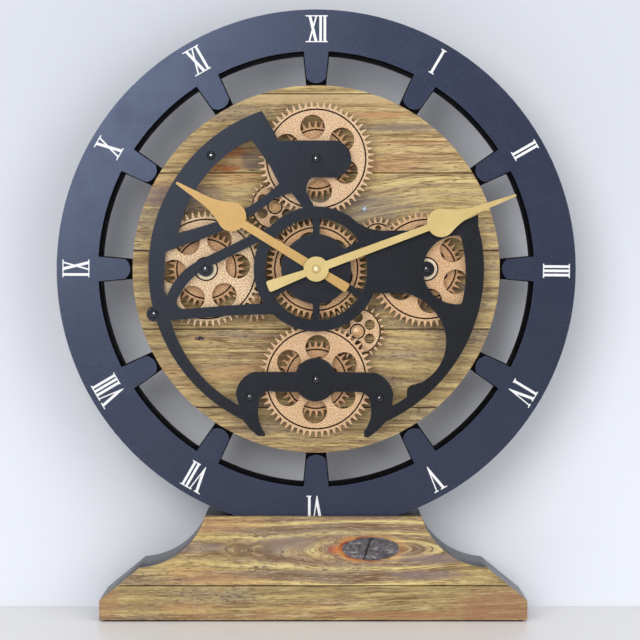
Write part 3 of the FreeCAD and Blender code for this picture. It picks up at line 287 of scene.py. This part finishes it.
def growth_bands(s, colour, flow, height, shift, contrast):
    """Bands of early and late wood that follow the grain, strong in some places only."""
    stray = s.streaks(flow, BAND_STRAY, 3.0, shift=shift)
    count = s.plus(s.times(height, BANDS_PER_METRE), s.times(stray, BAND_SWAY))
    ring = s.maths("PINGPONG", count, 1.0)
    tint = s.ramp(ring, (0.05, BAND_CREAM), (0.22, BAND_YELLOW), (0.55, BAND_GREY),
                  (0.90, BAND_BROWN))
    where = s.streaks(flow, BAND_PLACES, 3.0, shift=shift)
    return s.mix(s.band(where, 0.36, 0.60, contrast * 0.25, contrast), colour, tint)


def weathering(s, colour, flow, shift):
    """Grey and orange clouds, and fine pepper along the grain where the board is greyest."""
    patch = s.streaks(flow, GREY_PATCHES, 4.0, shift=shift)
    colour = s.mix(s.band(patch, 0.52, 0.68, 0.0, 0.60), colour, GREY_WOOD)
    warm = s.streaks(flow, WARM_PATCHES, 4.0, shift=shift[::-1])
    colour = s.mix(s.band(warm, 0.54, 0.72, 0.0, 0.55), colour, WARM_WOOD)
    pepper = s.streaks(flow, PEPPER_DOTS, 2.0, 0.6, shift)
    dots = s.times(s.band(pepper, 0.54, 0.62), s.band(patch, 0.50, 0.62, 0.0, 0.8))
    return s.mix(dots, colour, PEPPER)


def fine_marks(s, colour, flow, shift):
    """Thin brown lines and dark dashes along the grain. Returns the colour and the marks."""
    thread = s.streaks(flow, THREADS, 2.0, 0.5, shift[::-1])
    near = s.absolute(s.minus(thread, 0.5))
    gaps = s.streaks(flow, THREAD_GAPS, 2.0, shift=shift)
    lines = s.times(s.band(near, 0.030, 0.006), s.band(gaps, 0.40, 0.60, 0.1, 0.8))
    colour = s.mix(lines, colour, LINE_BROWN)
    dashes = s.band(s.streaks(flow, DASHES, 2.0, 0.5, shift), 0.62, 0.70, 0.0, 0.75)
    return s.mix(dashes, colour, DARK_FLECK), s.maths("MAXIMUM", dashes, lines)


def knot(s, colour, centre, size, ragged, shift):
    """A dark, cracked oval knot in a broken rim of resin. Returns the colour and the inside."""
    distance = spot(s, centre, size, s.times(ragged, 0.22))
    colour = resin_rim(s, colour, distance, centre, size, shift)
    core = s.streaks(s.place, KNOT_GRAINS, 5.0, 0.75, shift)
    streak = s.streaks(s.place, KNOT_STREAKS, 4.0, 0.7, shift)
    mixed = s.plus(s.times(core, 0.55), s.times(streak, 0.45))
    heartwood = s.ramp(mixed, (0.38, DARK_KNOT), (0.54, GREY_KNOT), (0.66, PALE_KNOT))
    sway = s.times(ragged, 0.0022)
    split = s.minus(s.axis(s.place, "X"), centre[0] - 0.12 * size[0])
    slant = s.times(s.minus(s.axis(s.place, "Z"), centre[1]), 0.35)
    gap = s.absolute(s.plus(s.minus(split, slant), sway))
    heartwood = s.mix(s.band(gap, 0.0011, 0.0003, 0.0, 0.9), heartwood, CRACK)
    inside = s.band(distance, 0.92, 1.02, 1.0, 0.0)
    return s.mix(inside, colour, heartwood), inside


def resin_rim(s, colour, distance, centre, size, shift):
    """Amber glow and red scorch around a knot, in blotches, and strongest on its left."""
    blotch = s.streaks(s.place, RESIN_BLOTCHES, 4.0, shift=shift)
    left = s.band(s.axis(s.place, "X"), centre[0] + 0.4 * size[0], centre[0] - 0.9 * size[0],
                  0.35, 1.0)
    glow = s.times(s.band(distance, 1.02, 1.42, 0.9, 0.0),
                   s.times(left, s.band(blotch, 0.34, 0.58, 0.3, 1.0)))
    colour = s.mix(glow, colour, AMBER_RIM)
    scorch = s.times(s.band(distance, 1.00, 1.18, 1.0, 0.0),
                     s.times(left, s.band(blotch, 0.62, 0.42, 0.35, 1.0)))
    return s.mix(scorch, colour, RED_RIM)


def board_edge(name):
    """Pressed fibre board: brown, with a fine fibrous fleck."""
    s = Surface(name)
    fibre = s.streaks(s.place, (300, 300, 900), 4.0, 0.7)
    cloud = s.noise(s.place, 24, 3.0)
    colour = s.ramp(fibre, (0.32, tone(88, 66, 44)), (0.55, tone(128, 100, 70)),
                    (0.72, tone(156, 128, 94)))
    colour = s.mix(s.band(cloud, 0.4, 0.7, 0.0, 0.35), colour, tone(92, 72, 54))
    return s.finish(colour, s.band(fibre, 0.3, 0.7, 0.85, 0.7), s.bump(fibre, 0.0002, 0.5))


# ---------------------------------------------------------------- painted parts

def paint(name, base, light, wear, roughness, specular=0.5):
    """Sprayed satin paint: faint clouding, fine orange peel, dust, and rubbed edges."""
    s = Surface(name)
    cloud = s.noise(s.place, 9, 4.0, 0.6)
    peel = s.noise(s.place, 900, 2.0, 0.5)
    dust = s.noise(s.place, 2600, 1.0)
    rub = s.noise(s.place, 60, 5.0, 0.7)
    scuff = s.noise(s.place, 38, 4.0, 0.65)
    colour = s.mix(s.band(cloud, 0.35, 0.68, 0.0, 0.55), base, light)
    colour = s.mix(s.band(dust, 0.68, 0.78, 0.0, 0.15), colour, wear)
    rubbed = s.times(s.edges(0.0006), s.band(rub, 0.40, 0.62, 0.1, 0.75))
    colour = s.mix(rubbed, colour, wear)
    gloss = s.plus(s.band(scuff, 0.40, 0.70, roughness - 0.03, roughness + 0.04),
                   s.band(peel, 0.3, 0.7, -0.03, 0.03))
    relief = s.bump(peel, 0.00006, 0.35)
    return s.finish(colour, gloss, relief, Specular_IOR_Level=specular)


# ---------------------------------------------------------------- metals

COPPER_GLINT = tone(255, 242, 220)
COPPER_PIT = tone(104, 64, 42)
COPPER_EDGE_SCORCH_AND_SHADE = tone(92, 50, 30)
SAWN_DARK = tone(96, 50, 28)
SAWN_LIGHT = tone(168, 100, 58)
ENGRAVED = tone(30, 8, 2)
HUB_CREAM = tone(252, 236, 206)


def wheel_metal(name, centre, lines, face, shade, hub=None):
    """Copper-coloured wheel: speckled faces, edges dark with scorch and painted shade, dark
    engraved circles.

    centre is the wheel's (x, z), lines are the radii of its engraved circles and hub the inner
    and outer radius of a paler ring, all in metres.
    """
    s = Surface(name)
    speck = s.noise(s.place, 1000, 4.0, 0.8)
    colour = speckled(s, speck, face, shade)
    # Dark rim along every edge: partly laser scorch, partly painted shade.
    colour = s.mix(s.times(s.edges(0.0006), 0.95), colour, COPPER_EDGE_SCORCH_AND_SHADE)

    turned = s.add("TexCoord").outputs["Normal"]
    wall = s.band(s.absolute(s.axis(turned, "Y")), 0.75, 0.35)
    burn = s.streaks(s.place, (60, 500, 60), 3.0)
    colour = s.mix(wall, colour, s.ramp(burn, (0.3, SAWN_DARK), (0.6, SAWN_LIGHT)))
    colour = engraved(s, colour, centre, lines, hub)

    gloss = s.plus(s.band(speck, 0.3, 0.7, 0.52, 0.34), s.times(wall, 0.15))
    relief = s.bump(speck, 0.00006, 0.5)
    return s.finish(colour, gloss, relief, Metallic=0.25, Specular_IOR_Level=0.2)


def speckled(s, speck, face, shade):
    """The face colour with darker specks and clouds, bright glints and dark pits."""
    glint = s.noise(s.place, 2000, 2.0, 0.6)
    cloud = s.noise(s.place, 40, 3.0)
    colour = s.mix(s.band(speck, 0.43, 0.57), shade, face)
    colour = s.mix(s.band(cloud, 0.4, 0.7, 0.0, 0.35), colour, shade)
    colour = s.mix(s.band(glint, 0.57, 0.65, 0.0, 0.9), colour, COPPER_GLINT)
    return s.mix(s.band(glint, 0.42, 0.33, 0.0, 0.85), colour, COPPER_PIT)


def engraved(s, colour, centre, lines, hub):
    """Dark circles around the centre, and the paler ring of the hub where there is one."""
    x = s.minus(s.axis(s.place, "X"), centre[0])
    z = s.minus(s.axis(s.place, "Z"), centre[1])
    radius = s.length(x, z)
    dark = 0.0
    for line in lines:
        gap = s.absolute(s.minus(radius, line))
        dark = s.maths("MAXIMUM", dark, s.band(gap, 0.00068, 0.00038))
    colour = s.mix(dark, colour, ENGRAVED)
    if hub:
        middle, half = (hub[0] + hub[1]) / 2, (hub[1] - hub[0]) / 2
        gap = s.absolute(s.minus(radius, middle))
        colour = s.mix(s.band(gap, half + 0.0002, half, 0.0, 0.8), colour, HUB_CREAM)
    return colour


# Noise scales of brushed metal along X, Y and Z.
EVEN = (900, 900, 900)
ALONG_Y = (900, 12, 900)


def brushed(name, base, light, dark, roughness, metallic=1.0, scratches=0.5, stretch=EVEN):
    """Brushed metal: streaks along the stretch, a few scratches, smudges and worn edges."""
    s = Surface(name)
    streak = s.streaks(s.place, stretch, 4.0, 0.7)
    smudge = s.noise(s.place, 45, 4.0, 0.6)
    scratch = s.streaks(s.place, tuple(value * 2 for value in stretch), 1.0)
    colour = s.mix(s.band(streak, 0.34, 0.66), dark, base)
    colour = s.mix(s.band(smudge, 0.45, 0.70, 0.0, 0.5), colour, light)
    colour = s.mix(s.times(s.edges(0.0004), 0.5), colour, light)
    gloss = s.plus(s.band(streak, 0.3, 0.7, roughness + 0.06, roughness - 0.04),
                   s.band(smudge, 0.4, 0.7, 0.0, 0.06))
    relief = s.bump(streak, 0.00003, 0.3)
    relief = s.bump(s.band(scratch, 0.70, 0.74), -0.00004, scratches, relief)
    return s.finish(colour, gloss, relief, Metallic=metallic)


# ---------------------------------------------------------------- plastics and soft parts

def plastic(name, base, light, roughness, grain=1400, depth=0.00008):
    """Moulded plastic: spark-eroded grain, faint flow clouding and polished edges."""
    s = Surface(name)
    skin = s.noise(s.place, grain, 2.0, 0.6)
    pits = s.cells(s.place, grain * 1.3)
    cloud = s.noise(s.place, 30, 3.0)
    colour = s.mix(s.band(cloud, 0.35, 0.70, 0.0, 0.6), base, light)
    colour = s.mix(s.band(skin, 0.62, 0.75, 0.0, 0.3), colour, light)
    colour = s.mix(s.times(s.edges(0.0004), 0.35), colour, light)
    gloss = s.plus(s.band(skin, 0.3, 0.7, roughness + 0.05, roughness - 0.05),
                   s.band(cloud, 0.4, 0.7, 0.0, 0.05))
    relief = s.bump(skin, depth, 0.5)
    relief = s.bump(pits, depth, 0.3, relief)
    return s.finish(colour, gloss, relief)


def felt(name):
    """Black felt: matted fibres with a soft sheen."""
    s = Surface(name)
    fibre = s.noise(s.place, 1100, 6.0, 0.8, 1.5)
    cloud = s.noise(s.place, 60, 3.0)
    colour = s.ramp(fibre, (0.35, tone(16, 16, 18)), (0.6, tone(40, 40, 44)),
                    (0.75, tone(70, 70, 76)))
    colour = s.mix(s.band(cloud, 0.4, 0.7, 0.0, 0.4), colour, tone(24, 24, 27))
    relief = s.bump(fibre, 0.0005, 0.9)
    return s.finish(colour, s.band(fibre, 0.3, 0.7, 0.98, 0.88), relief, Sheen_Weight=0.4,
                    Sheen_Roughness=0.5)


def cell_wrap(name, centre, length):
    """A dry cell that lies along X: a foil sleeve with a plain coloured band, and bare steel ends.

    centre is the x of its middle, in metres.
    """
    s = Surface(name)
    offset = s.minus(s.axis(s.place, "X"), centre)
    share = s.maths("DIVIDE", offset, length)
    grain = s.noise(s.place, 900, 3.0)
    cloud = s.noise(s.place, 70, 3.0)
    sleeve, faded, stripe, steel = (tone(38, 40, 44), tone(60, 62, 66), tone(176, 122, 60),
                                    tone(196, 196, 198))
    colour = s.mix(s.band(cloud, 0.4, 0.7, 0.0, 0.4), sleeve, faded)
    colour = s.mix(s.band(share, 0.18, 0.19), colour, stripe)
    ends = s.band(s.absolute(share), 0.472, 0.478)
    colour = s.mix(ends, colour, steel)
    gloss = s.plus(s.band(grain, 0.3, 0.7, 0.30, 0.38), s.times(ends, 0.05))
    s.fill(s.shader.inputs["Metallic"], s.times(ends, 0.9))
    return s.finish(colour, gloss, s.bump(grain, 0.00004, 0.3))


# ---------------------------------------------------------------- laying the materials on

WELD_REACH = 0.000002
SHARP_DEGREES = 42


def dress(material, slot, *names):
    """Gives the material to these CAD nodes, in place of their plain one."""
    for name in names:
        piece = nodes[name]
        piece.data.materials.clear()
        piece.data.materials.append(material)


def soften(width_mm, *names, segments=2):
    """Rounds the sharp edges of CAD nodes with modifiers, which leave their meshes as they are."""
    for name in names:
        piece = nodes[name]
        weld = piece.modifiers.new("weld", "WELD")
        weld.merge_threshold = WELD_REACH
        round_over = piece.modifiers.new("round", "BEVEL")
        round_over.width = width_mm * MM
        round_over.segments = segments
        round_over.limit_method = "ANGLE"
        round_over.angle_limit = math.radians(SHARP_DEGREES)
        round_over.harden_normals = True


def joint_centre(body):
    """The (x, z) of the axle that this body turns on."""
    place = next(joint["pos_m"] for joint in frame["joints"] if joint["child"] == body)
    return place[0], place[2]


PLANKS = [f"disc_plank_{number}" for number in range(1, 7)]

# For each disc board, from the lowest up: the heart's (x, z), its reach and its swell, in metres.
HEARTS = (((-0.20, 0.06), 0.20, 0.02), ((0.22, 0.25), 0.15, 0.02), ((-0.24, 0.32), 0.12, 0.02),
          ((0.115, 0.235), 0.070, 0.040), ((-0.25, 0.42), 0.18, 0.02), ((0.20, 0.30), 0.20, 0.02))
DISC_KNOTS = {2: [((-0.0823, 0.1989), (0.0035, 0.0014))]}
DISC_STAINS = {4: [((-0.103, 0.300), (0.040, 0.010), PURPLE_STAIN),
                   ((0.020, 0.290), (0.060, 0.014), GREY_STAIN)],
               5: [((-0.062, 0.3310), (0.020, 0.0055), RUST),
                   ((-0.066, 0.3190), (0.014, 0.003), RUST),
                   ((-0.0450, 0.3250), (0.0105, 0.0085), DARK_STAIN),
                   ((0.010, 0.3690), (0.095, 0.0050), PALE_STAIN),
                   ((0.044, 0.3570), (0.026, 0.0030), ORANGE_STAIN),
                   ((0.070, 0.3380), (0.040, 0.0014), BROWN_STAIN),
                   ((0.060, 0.3480), (0.036, 0.0035), GREY_STAIN)]}
PALE_BOARDS = (4, 6)
BANDED_BOARD = 4

BASE_EYE = ((0.0385, 0.0513), (0.0208, 0.0083))
BASE_UPPER_STAINS = [((0.080, 0.044), (0.026, 0.0045), PURPLE_STAIN),
                     ((-0.016, 0.0550), (0.024, 0.0075), BROWN_GREY_STAIN),
                     ((0.014, 0.0505), (0.007, 0.0035), RED_STAIN),
                     ((0.078, 0.033), (0.030, 0.0035), PURPLE_STAIN),
                     ((-0.085, 0.052), (0.030, 0.0040), PURPLE_STAIN)]
BASE_LOWER_STAINS = [((0.130, 0.010), (0.040, 0.016), tone(150, 106, 80)),
                     ((0.060, 0.0045), (0.070, 0.0036), tone(158, 114, 82)),
                     ((-0.150, 0.012), (0.014, 0.014), tone(158, 122, 90))]


def dress_disc():
    """Six boards of the disc, and the fibre board behind them."""
    for number, (name, (heart, reach, swell)) in enumerate(zip(PLANKS, HEARTS), start=1):
        shift = (3.7 * number, 1.3 * number, 7.9 * number)
        palette = PALE_TONES if number in PALE_BOARDS else WOOD_TONES
        contrast = 0.60 if number == BANDED_BOARD else 0.35
        board = wood(f"board_{number}", shift, heart, reach, swell, DISC_KNOTS.get(number, ()),
                     DISC_STAINS.get(number, ()), palette, wander=0.004, contrast=contrast)
        dress(board, "disc_wood", name)
    dress(board_edge("fibre_board"), "backer", "disc_backer")


def dress_base_boards():
    """The two boards on the front of the base."""
    upper = wood("board_base_upper", shift=(31, 11, 53), heart=BASE_EYE[0], reach=0.046,
                 swell=0.0115, knots=[BASE_EYE], stains=BASE_UPPER_STAINS, palette=BASE_TONES,
                 wander=0.007, contrast=0.85, lean=0.15)
    lower = wood("board_base_lower", shift=(57, 23, 91), heart=(0.30, -0.040), reach=0.20,
                 swell=0.03, knots=(), stains=BASE_LOWER_STAINS, palette=RED_TONES,
                 wander=0.004, contrast=0.4)
    dress(upper, "base_wood", "base_front_upper")
    dress(lower, "base_wood", "base_front_lower")


def dress_paint():
    """Painted ring, numerals, plate and base."""
    slate = paint("slate_paint", tone(38, 44, 65), tone(43, 48, 70), tone(108, 114, 132),
                  roughness=0.27, specular=0.35)
    black = paint("ring_black", tone(6, 6, 8), tone(11, 11, 14), tone(40, 42, 48),
                  roughness=0.75, specular=0.1)
    white = paint("numeral_white", tone(228, 229, 232), tone(240, 240, 242), tone(200, 200, 204),
                  roughness=0.45)
    plate = paint("plate_black", tone(19, 19, 22), tone(23, 24, 27), tone(84, 88, 96),
                  roughness=0.30, specular=0.25)
    grey = paint("base_grey", tone(44, 48, 53), tone(52, 56, 61), tone(130, 134, 140),
                 roughness=0.34)
    dress(slate, "slate_paint", "dial_face")
    dress(black, "ring_black", "ring_body")
    dress(white, "numeral_white", "hour_numerals")
    dress(plate, "plate_black", "front_plate")
    dress(grey, "base_paint", "base_core")


# The front wheels share one finish. Their faces differ by side as painted light and shade: palest
# on the west, towards the lamp, more orange on the east.
SIDE_LIT_WHEEL_FACES = {"north": tone(238, 211, 175), "east": tone(232, 194, 148),
               "south": tone(232, 200, 158), "west": tone(244, 223, 186)}
WHEEL_SHADE = tone(196, 152, 110)
# The rear wheels have the front wheels' finish. Their darker tones are painted shade for their
# place behind the front wheels.
REAR_FACE_PAINTED_SHADE = tone(222, 180, 132)
REAR_SPECK_PAINTED_SHADE = tone(178, 130, 88)
# The centre wheel is more orange in tone. Its tones are also brightened as painted light against
# the shade where it sits deeper than the front wheels.
CENTRE_FACE_PAINTED_LIGHT = tone(242, 198, 148)
CENTRE_SPECK_PAINTED_LIGHT = tone(208, 158, 110)
IDLER_FACE = tone(234, 204, 164)

# Radii of the engraved circles, and of the pale ring on the hub of a front wheel, in millimetres.
FRONT_LINES = (34.8, 8.0)
FRONT_HUB = (5.4, 7.4)
REAR_LINES = (20.8,)
CENTRE_LINES = (29.2,)
LARGE_IDLER_LINES = (16.0, 4.95)
SMALL_IDLER_LINES = (10.4, 4.95)
IDLERS = {"idler_lower_right": LARGE_IDLER_LINES, "idler_upper_left": LARGE_IDLER_LINES,
          "idler_upper_right": SMALL_IDLER_LINES, "idler_lower_left": SMALL_IDLER_LINES}


def metres(lengths_mm):
    """These millimetres as a list of metres."""
    return [length * MM for length in lengths_mm]


def dress_wheels():
    """Front and rear wheel of each axle, the centre wheel and the idlers."""
    for side, face in SIDE_LIT_WHEEL_FACES.items():
        centre = joint_centre(f"wheel_{side}")
        front = wheel_metal(f"front_wheel_{side}", centre, metres(FRONT_LINES), face, WHEEL_SHADE,
                            metres(FRONT_HUB))
        rear = wheel_metal(f"rear_wheel_{side}", centre, metres(REAR_LINES), REAR_FACE_PAINTED_SHADE, REAR_SPECK_PAINTED_SHADE)
        dress(front, "copper", f"front_wheel_{side}")
        dress(rear, "copper", f"rear_wheel_{side}")
    middle = wheel_metal("centre_wheel", joint_centre("centre_gear"), metres(CENTRE_LINES),
                         CENTRE_FACE_PAINTED_LIGHT, CENTRE_SPECK_PAINTED_LIGHT)
    dress(middle, "copper", "centre_gear")
    for name, lines in IDLERS.items():
        idler = wheel_metal(name, joint_centre(name), metres(lines), IDLER_FACE, WHEEL_SHADE)
        dress(idler, "copper", name)


def dress_hands():
    """Hands, their nut and tubes, and the heads of the idler pins."""
    pale = brushed("minute_gold", tone(198, 173, 108), tone(207, 184, 122), tone(188, 161, 98),
                   roughness=0.40, metallic=0.3)
    deep = brushed("hour_gold", tone(187, 147, 80), tone(195, 158, 94), tone(176, 136, 70),
                   roughness=0.42, metallic=0.3)
    brass = brushed("brass", tone(238, 216, 158), tone(250, 236, 196), tone(214, 186, 124),
                    roughness=0.28, metallic=0.6)
    pin = brushed("pin_gold", tone(224, 182, 128), tone(240, 208, 160), tone(188, 140, 90),
                  roughness=0.46, metallic=0.5)
    dress(pale, "gold", "minute_hand")
    dress(deep, "gold", "hour_hand")
    dress(brass, "brass", "hand_nut", "minute_arbor", "hour_tube", "hand_bush", "bush_nut")
    dress(pin, "brass", "idler_pins", "motor_shaft")


def dress_steel():
    """Screws, and the motor with its bracket."""
    steel = brushed("steel", tone(206, 208, 212), tone(232, 234, 238), tone(160, 162, 168),
                    roughness=0.38, metallic=0.7, stretch=ALONG_Y)
    dark = brushed("dark_steel", tone(33, 34, 38), tone(48, 50, 54), tone(22, 23, 26),
                   roughness=0.12, metallic=0.0, scratches=0.2)
    can = brushed("motor_can", tone(176, 178, 182), tone(208, 210, 214), tone(120, 122, 128),
                  roughness=0.34, stretch=ALONG_Y)
    zinc = brushed("zinc", tone(200, 202, 205), tone(228, 230, 232), tone(132, 134, 138),
                   roughness=0.38, metallic=0.4)
    dress(zinc, "steel", "disc_screws")
    dress(steel, "steel", "base_screws", "rim_screws", "bracket_screws")
    dress(dark, "dark_steel", "plate_screws")
    dress(can, "steel", "motor_can", "motor_bracket")


def dress_plastic():
    """Plastic cases and posts, the rubber washer, the leads and the felt."""
    black = plastic("black_plastic", tone(24, 24, 26), tone(40, 40, 44), roughness=0.46)
    spindle = plastic("spindle_black", tone(20, 20, 22), tone(38, 38, 42), roughness=0.38,
                      grain=2200)
    white = plastic("white_plastic", tone(222, 220, 212), tone(236, 234, 228), roughness=0.42)
    rubber = plastic("rubber", tone(28, 28, 28), tone(48, 47, 46), roughness=0.78, grain=700,
                     depth=0.00015)
    red_lead = plastic("lead_red", tone(168, 26, 22), tone(190, 48, 40), roughness=0.44)
    black_lead = plastic("lead_black", tone(22, 22, 24), tone(42, 42, 46), roughness=0.44)
    dress(black, "black_plastic", "movement_case", "battery_holder", "set_knob", "switch_case")
    dress(spindle, "black_plastic", "plate_posts", "wheel_axles", "axle_collars", "centre_collar")
    dress(white, "white_plastic", "motor_gearbox", "switch_slider")
    dress(rubber, "rubber", "rubber_washer")
    dress(red_lead, "lead_red", "lead_motor")
    dress(black_lead, "lead_black", "lead_switch")
    dress(felt("felt"), "felt", "base_felt")


def dress_cells():
    """The cell of the movement and the two cells of the motor."""
    for name in ("movement_cell", "gear_cell_1", "gear_cell_2"):
        low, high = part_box(name)
        dress(cell_wrap(name, (low.x + high.x) / 2, high.x - low.x), "cell", name)


# ---------------------------------------------------------------- stage, light and camera

TABLE_REACH = 4
WALL_REACH = 3
WALL_GAP = 0.006
PAINTED_SHADE_HEIGHT = 0.5


def stage_mesh(name, corners):
    """A flat four-cornered sheet of the stage."""
    mesh = bpy.data.meshes.new(name)
    mesh.from_pydata(corners, [], [(0, 1, 2, 3)])
    sheet = bpy.data.objects.new(name, mesh)
    bpy.context.scene.collection.objects.link(sheet)
    return sheet


def matt_white(name, low, high, roughness):
    """Plain pale paint, turning from the low colour at the table to the high one further up as
    painted shade.
    """
    s = Surface(name)
    cloud = s.noise(s.place, 3, 3.0)
    skin = s.noise(s.place, 400, 2.0)
    colour = s.mix(s.band(s.axis(s.place, "Z"), 0.0, PAINTED_SHADE_HEIGHT), low, high)
    colour = s.mix(s.band(cloud, 0.3, 0.7, 0.0, 0.06), colour, tone(240, 241, 243))
    s.finish(colour, roughness, s.bump(skin, 0.0002, 0.1))
    return s


def make_table():
    """A wide pale table under the clock."""
    reach = TABLE_REACH
    table = stage_mesh("table", [(-reach, -reach, 0), (reach, -reach, 0), (reach, reach, 0),
                                 (-reach, reach, 0)])
    white = tone(252, 251, 252)
    table.data.materials.append(matt_white("table_top", white, white, 0.35).material)


def make_wall():
    """A pale wall close behind the clock. From its back it is clear, and it casts no shadow."""
    reach, behind = WALL_REACH, cad_box[1][1] + WALL_GAP
    wall = stage_mesh("wall", [(-reach, behind, 0), (reach, behind, 0), (reach, behind, reach),
                               (-reach, behind, reach)])
    # One wall paint, lighter near the table and darker higher up as painted light and shade.
    s = matt_white("wall_paint_and_shade", tone(228, 232, 240), tone(201, 205, 213), 0.8)
    clear = s.add("BsdfTransparent")
    back = s.add("NewGeometry").outputs["Backfacing"]
    mixed = s.add("MixShader", {0: back, 1: s.shader.outputs[0], 2: clear.outputs[0]})
    s.fill(s.tree.nodes["Material Output"].inputs["Surface"], mixed.outputs[0])
    wall.data.materials.append(s.material)
    wall.visible_shadow = False
    wall.visible_diffuse = False


# Lamps face AIM, a point near the middle of the clock. Places and sizes are in metres.
AIM = (0, 0, 0.23)
WHITE = (1, 1, 1)
SUNNY = (1.0, 0.985, 0.96)
WARM = (1.0, 0.98, 0.94)
SKY_BLUE = (0.58, 0.72, 1.0)
ROOM = (0.93, 0.95, 1.0, 1)
ROOM_STRENGTH = 0.50
GLOSSY_FRONT = ("dial_face", "front_plate", "minute_hand", "hour_hand", "hand_nut", "idler_pins",
                "plate_screws", "disc_screws")
BACK_PARTS = ("disc_backer", "rim_screws", "movement_case", "movement_cell", "set_knob",
              "battery_holder", "gear_cell_1", "gear_cell_2", "motor_bracket", "motor_gearbox",
              "motor_can", "bracket_screws", "switch_case", "switch_slider", "lead_motor",
              "lead_switch")


def add_light(name, place, colour, size, watts):
    """A round soft box that faces the middle of the clock."""
    light = bpy.data.lights.new(name, "AREA")
    light.shape = "DISK"
    light.size = size
    light.energy = watts
    light.color = colour
    lamp = bpy.data.objects.new(name, light)
    lamp.location = place
    lamp.rotation_euler = (Vector(AIM) - Vector(place)).to_track_quat("-Z", "Y").to_euler()
    bpy.context.scene.collection.objects.link(lamp)
    return lamp


def light_only(lamp, group, *names):
    """Keeps the lamp's light on these CAD nodes."""
    receivers = bpy.data.collections.new(group)
    for name in names:
        receivers.objects.link(nodes[name])
    lamp.light_linking.receiver_collection = receivers


def make_light():
    """Soft light for all, sheens for the glossy front parts, and a lamp for the back."""
    window = add_light("window", (-0.75, -2.3, 1.0), SUNNY, size=1.6, watts=32)
    fill = add_light("fill", (1.3, -1.9, 0.7), WARM, size=1.6, watts=16)
    for lamp in (window, fill):
        lamp.visible_glossy = False
    add_light("top", (0.1, -0.5, 2.0), WHITE, size=1.2, watts=3.6)
    sky = add_light("sky", (-0.68, -2.2, 0.78), SKY_BLUE, size=1.2, watts=33)
    glint = add_light("glint", (-0.25, -1.6, 0.62), WHITE, size=0.5, watts=40)
    for lamp in (sky, glint):
        lamp.visible_diffuse = False
    behind = add_light("behind", (0.5, 1.9, 0.9), WHITE, size=1.4, watts=22)
    light_only(sky, "sky_parts", *GLOSSY_FRONT)
    light_only(glint, "glint_parts", "plate_screws")
    light_only(behind, "behind_parts", *BACK_PARTS)


def make_room():
    """Even pale light from all around."""
    world = bpy.data.worlds.new("studio")
    world.use_nodes = True
    background = world.node_tree.nodes["Background"]
    background.inputs["Color"].default_value = ROOM
    background.inputs["Strength"].default_value = ROOM_STRENGTH
    bpy.context.scene.world = world
    bpy.context.scene.view_settings.view_transform = "Standard"


LENS_MM = 119.5
SENSOR_MM = 36
LENS_SHIFT = (0.0094, -0.0906)
CAMERA_PLACE = (-0.00155, -1.525, 0.2529)


def make_camera():
    """The photograph's view: straight at the dial, a metre and a half away."""
    lens = bpy.data.cameras.new("camera")
    lens.lens = LENS_MM
    lens.sensor_width = SENSOR_MM
    lens.shift_x, lens.shift_y = LENS_SHIFT
    lens.clip_start = 0.05
    camera = bpy.data.objects.new("camera", lens)
    camera.location = CAMERA_PLACE
    camera.rotation_euler = (math.pi / 2, 0, 0)
    bpy.context.scene.collection.objects.link(camera)
    bpy.context.scene.camera = camera


PLATE_EDGE_MM = 0.5
BOARD_EDGE_MM = 0.25
HAND_EDGE_MM = 0.4

make_camera()
make_table()
make_wall()
make_light()
make_room()
dress_disc()
dress_base_boards()
dress_paint()
dress_wheels()
dress_hands()
dress_steel()
dress_plastic()
dress_cells()
soften(PLATE_EDGE_MM, "dial_face", "ring_body", "front_plate", "base_core")
soften(BOARD_EDGE_MM, *PLANKS, "base_front_upper", "base_front_lower")
soften(HAND_EDGE_MM, "minute_hand", "hour_hand", segments=3)
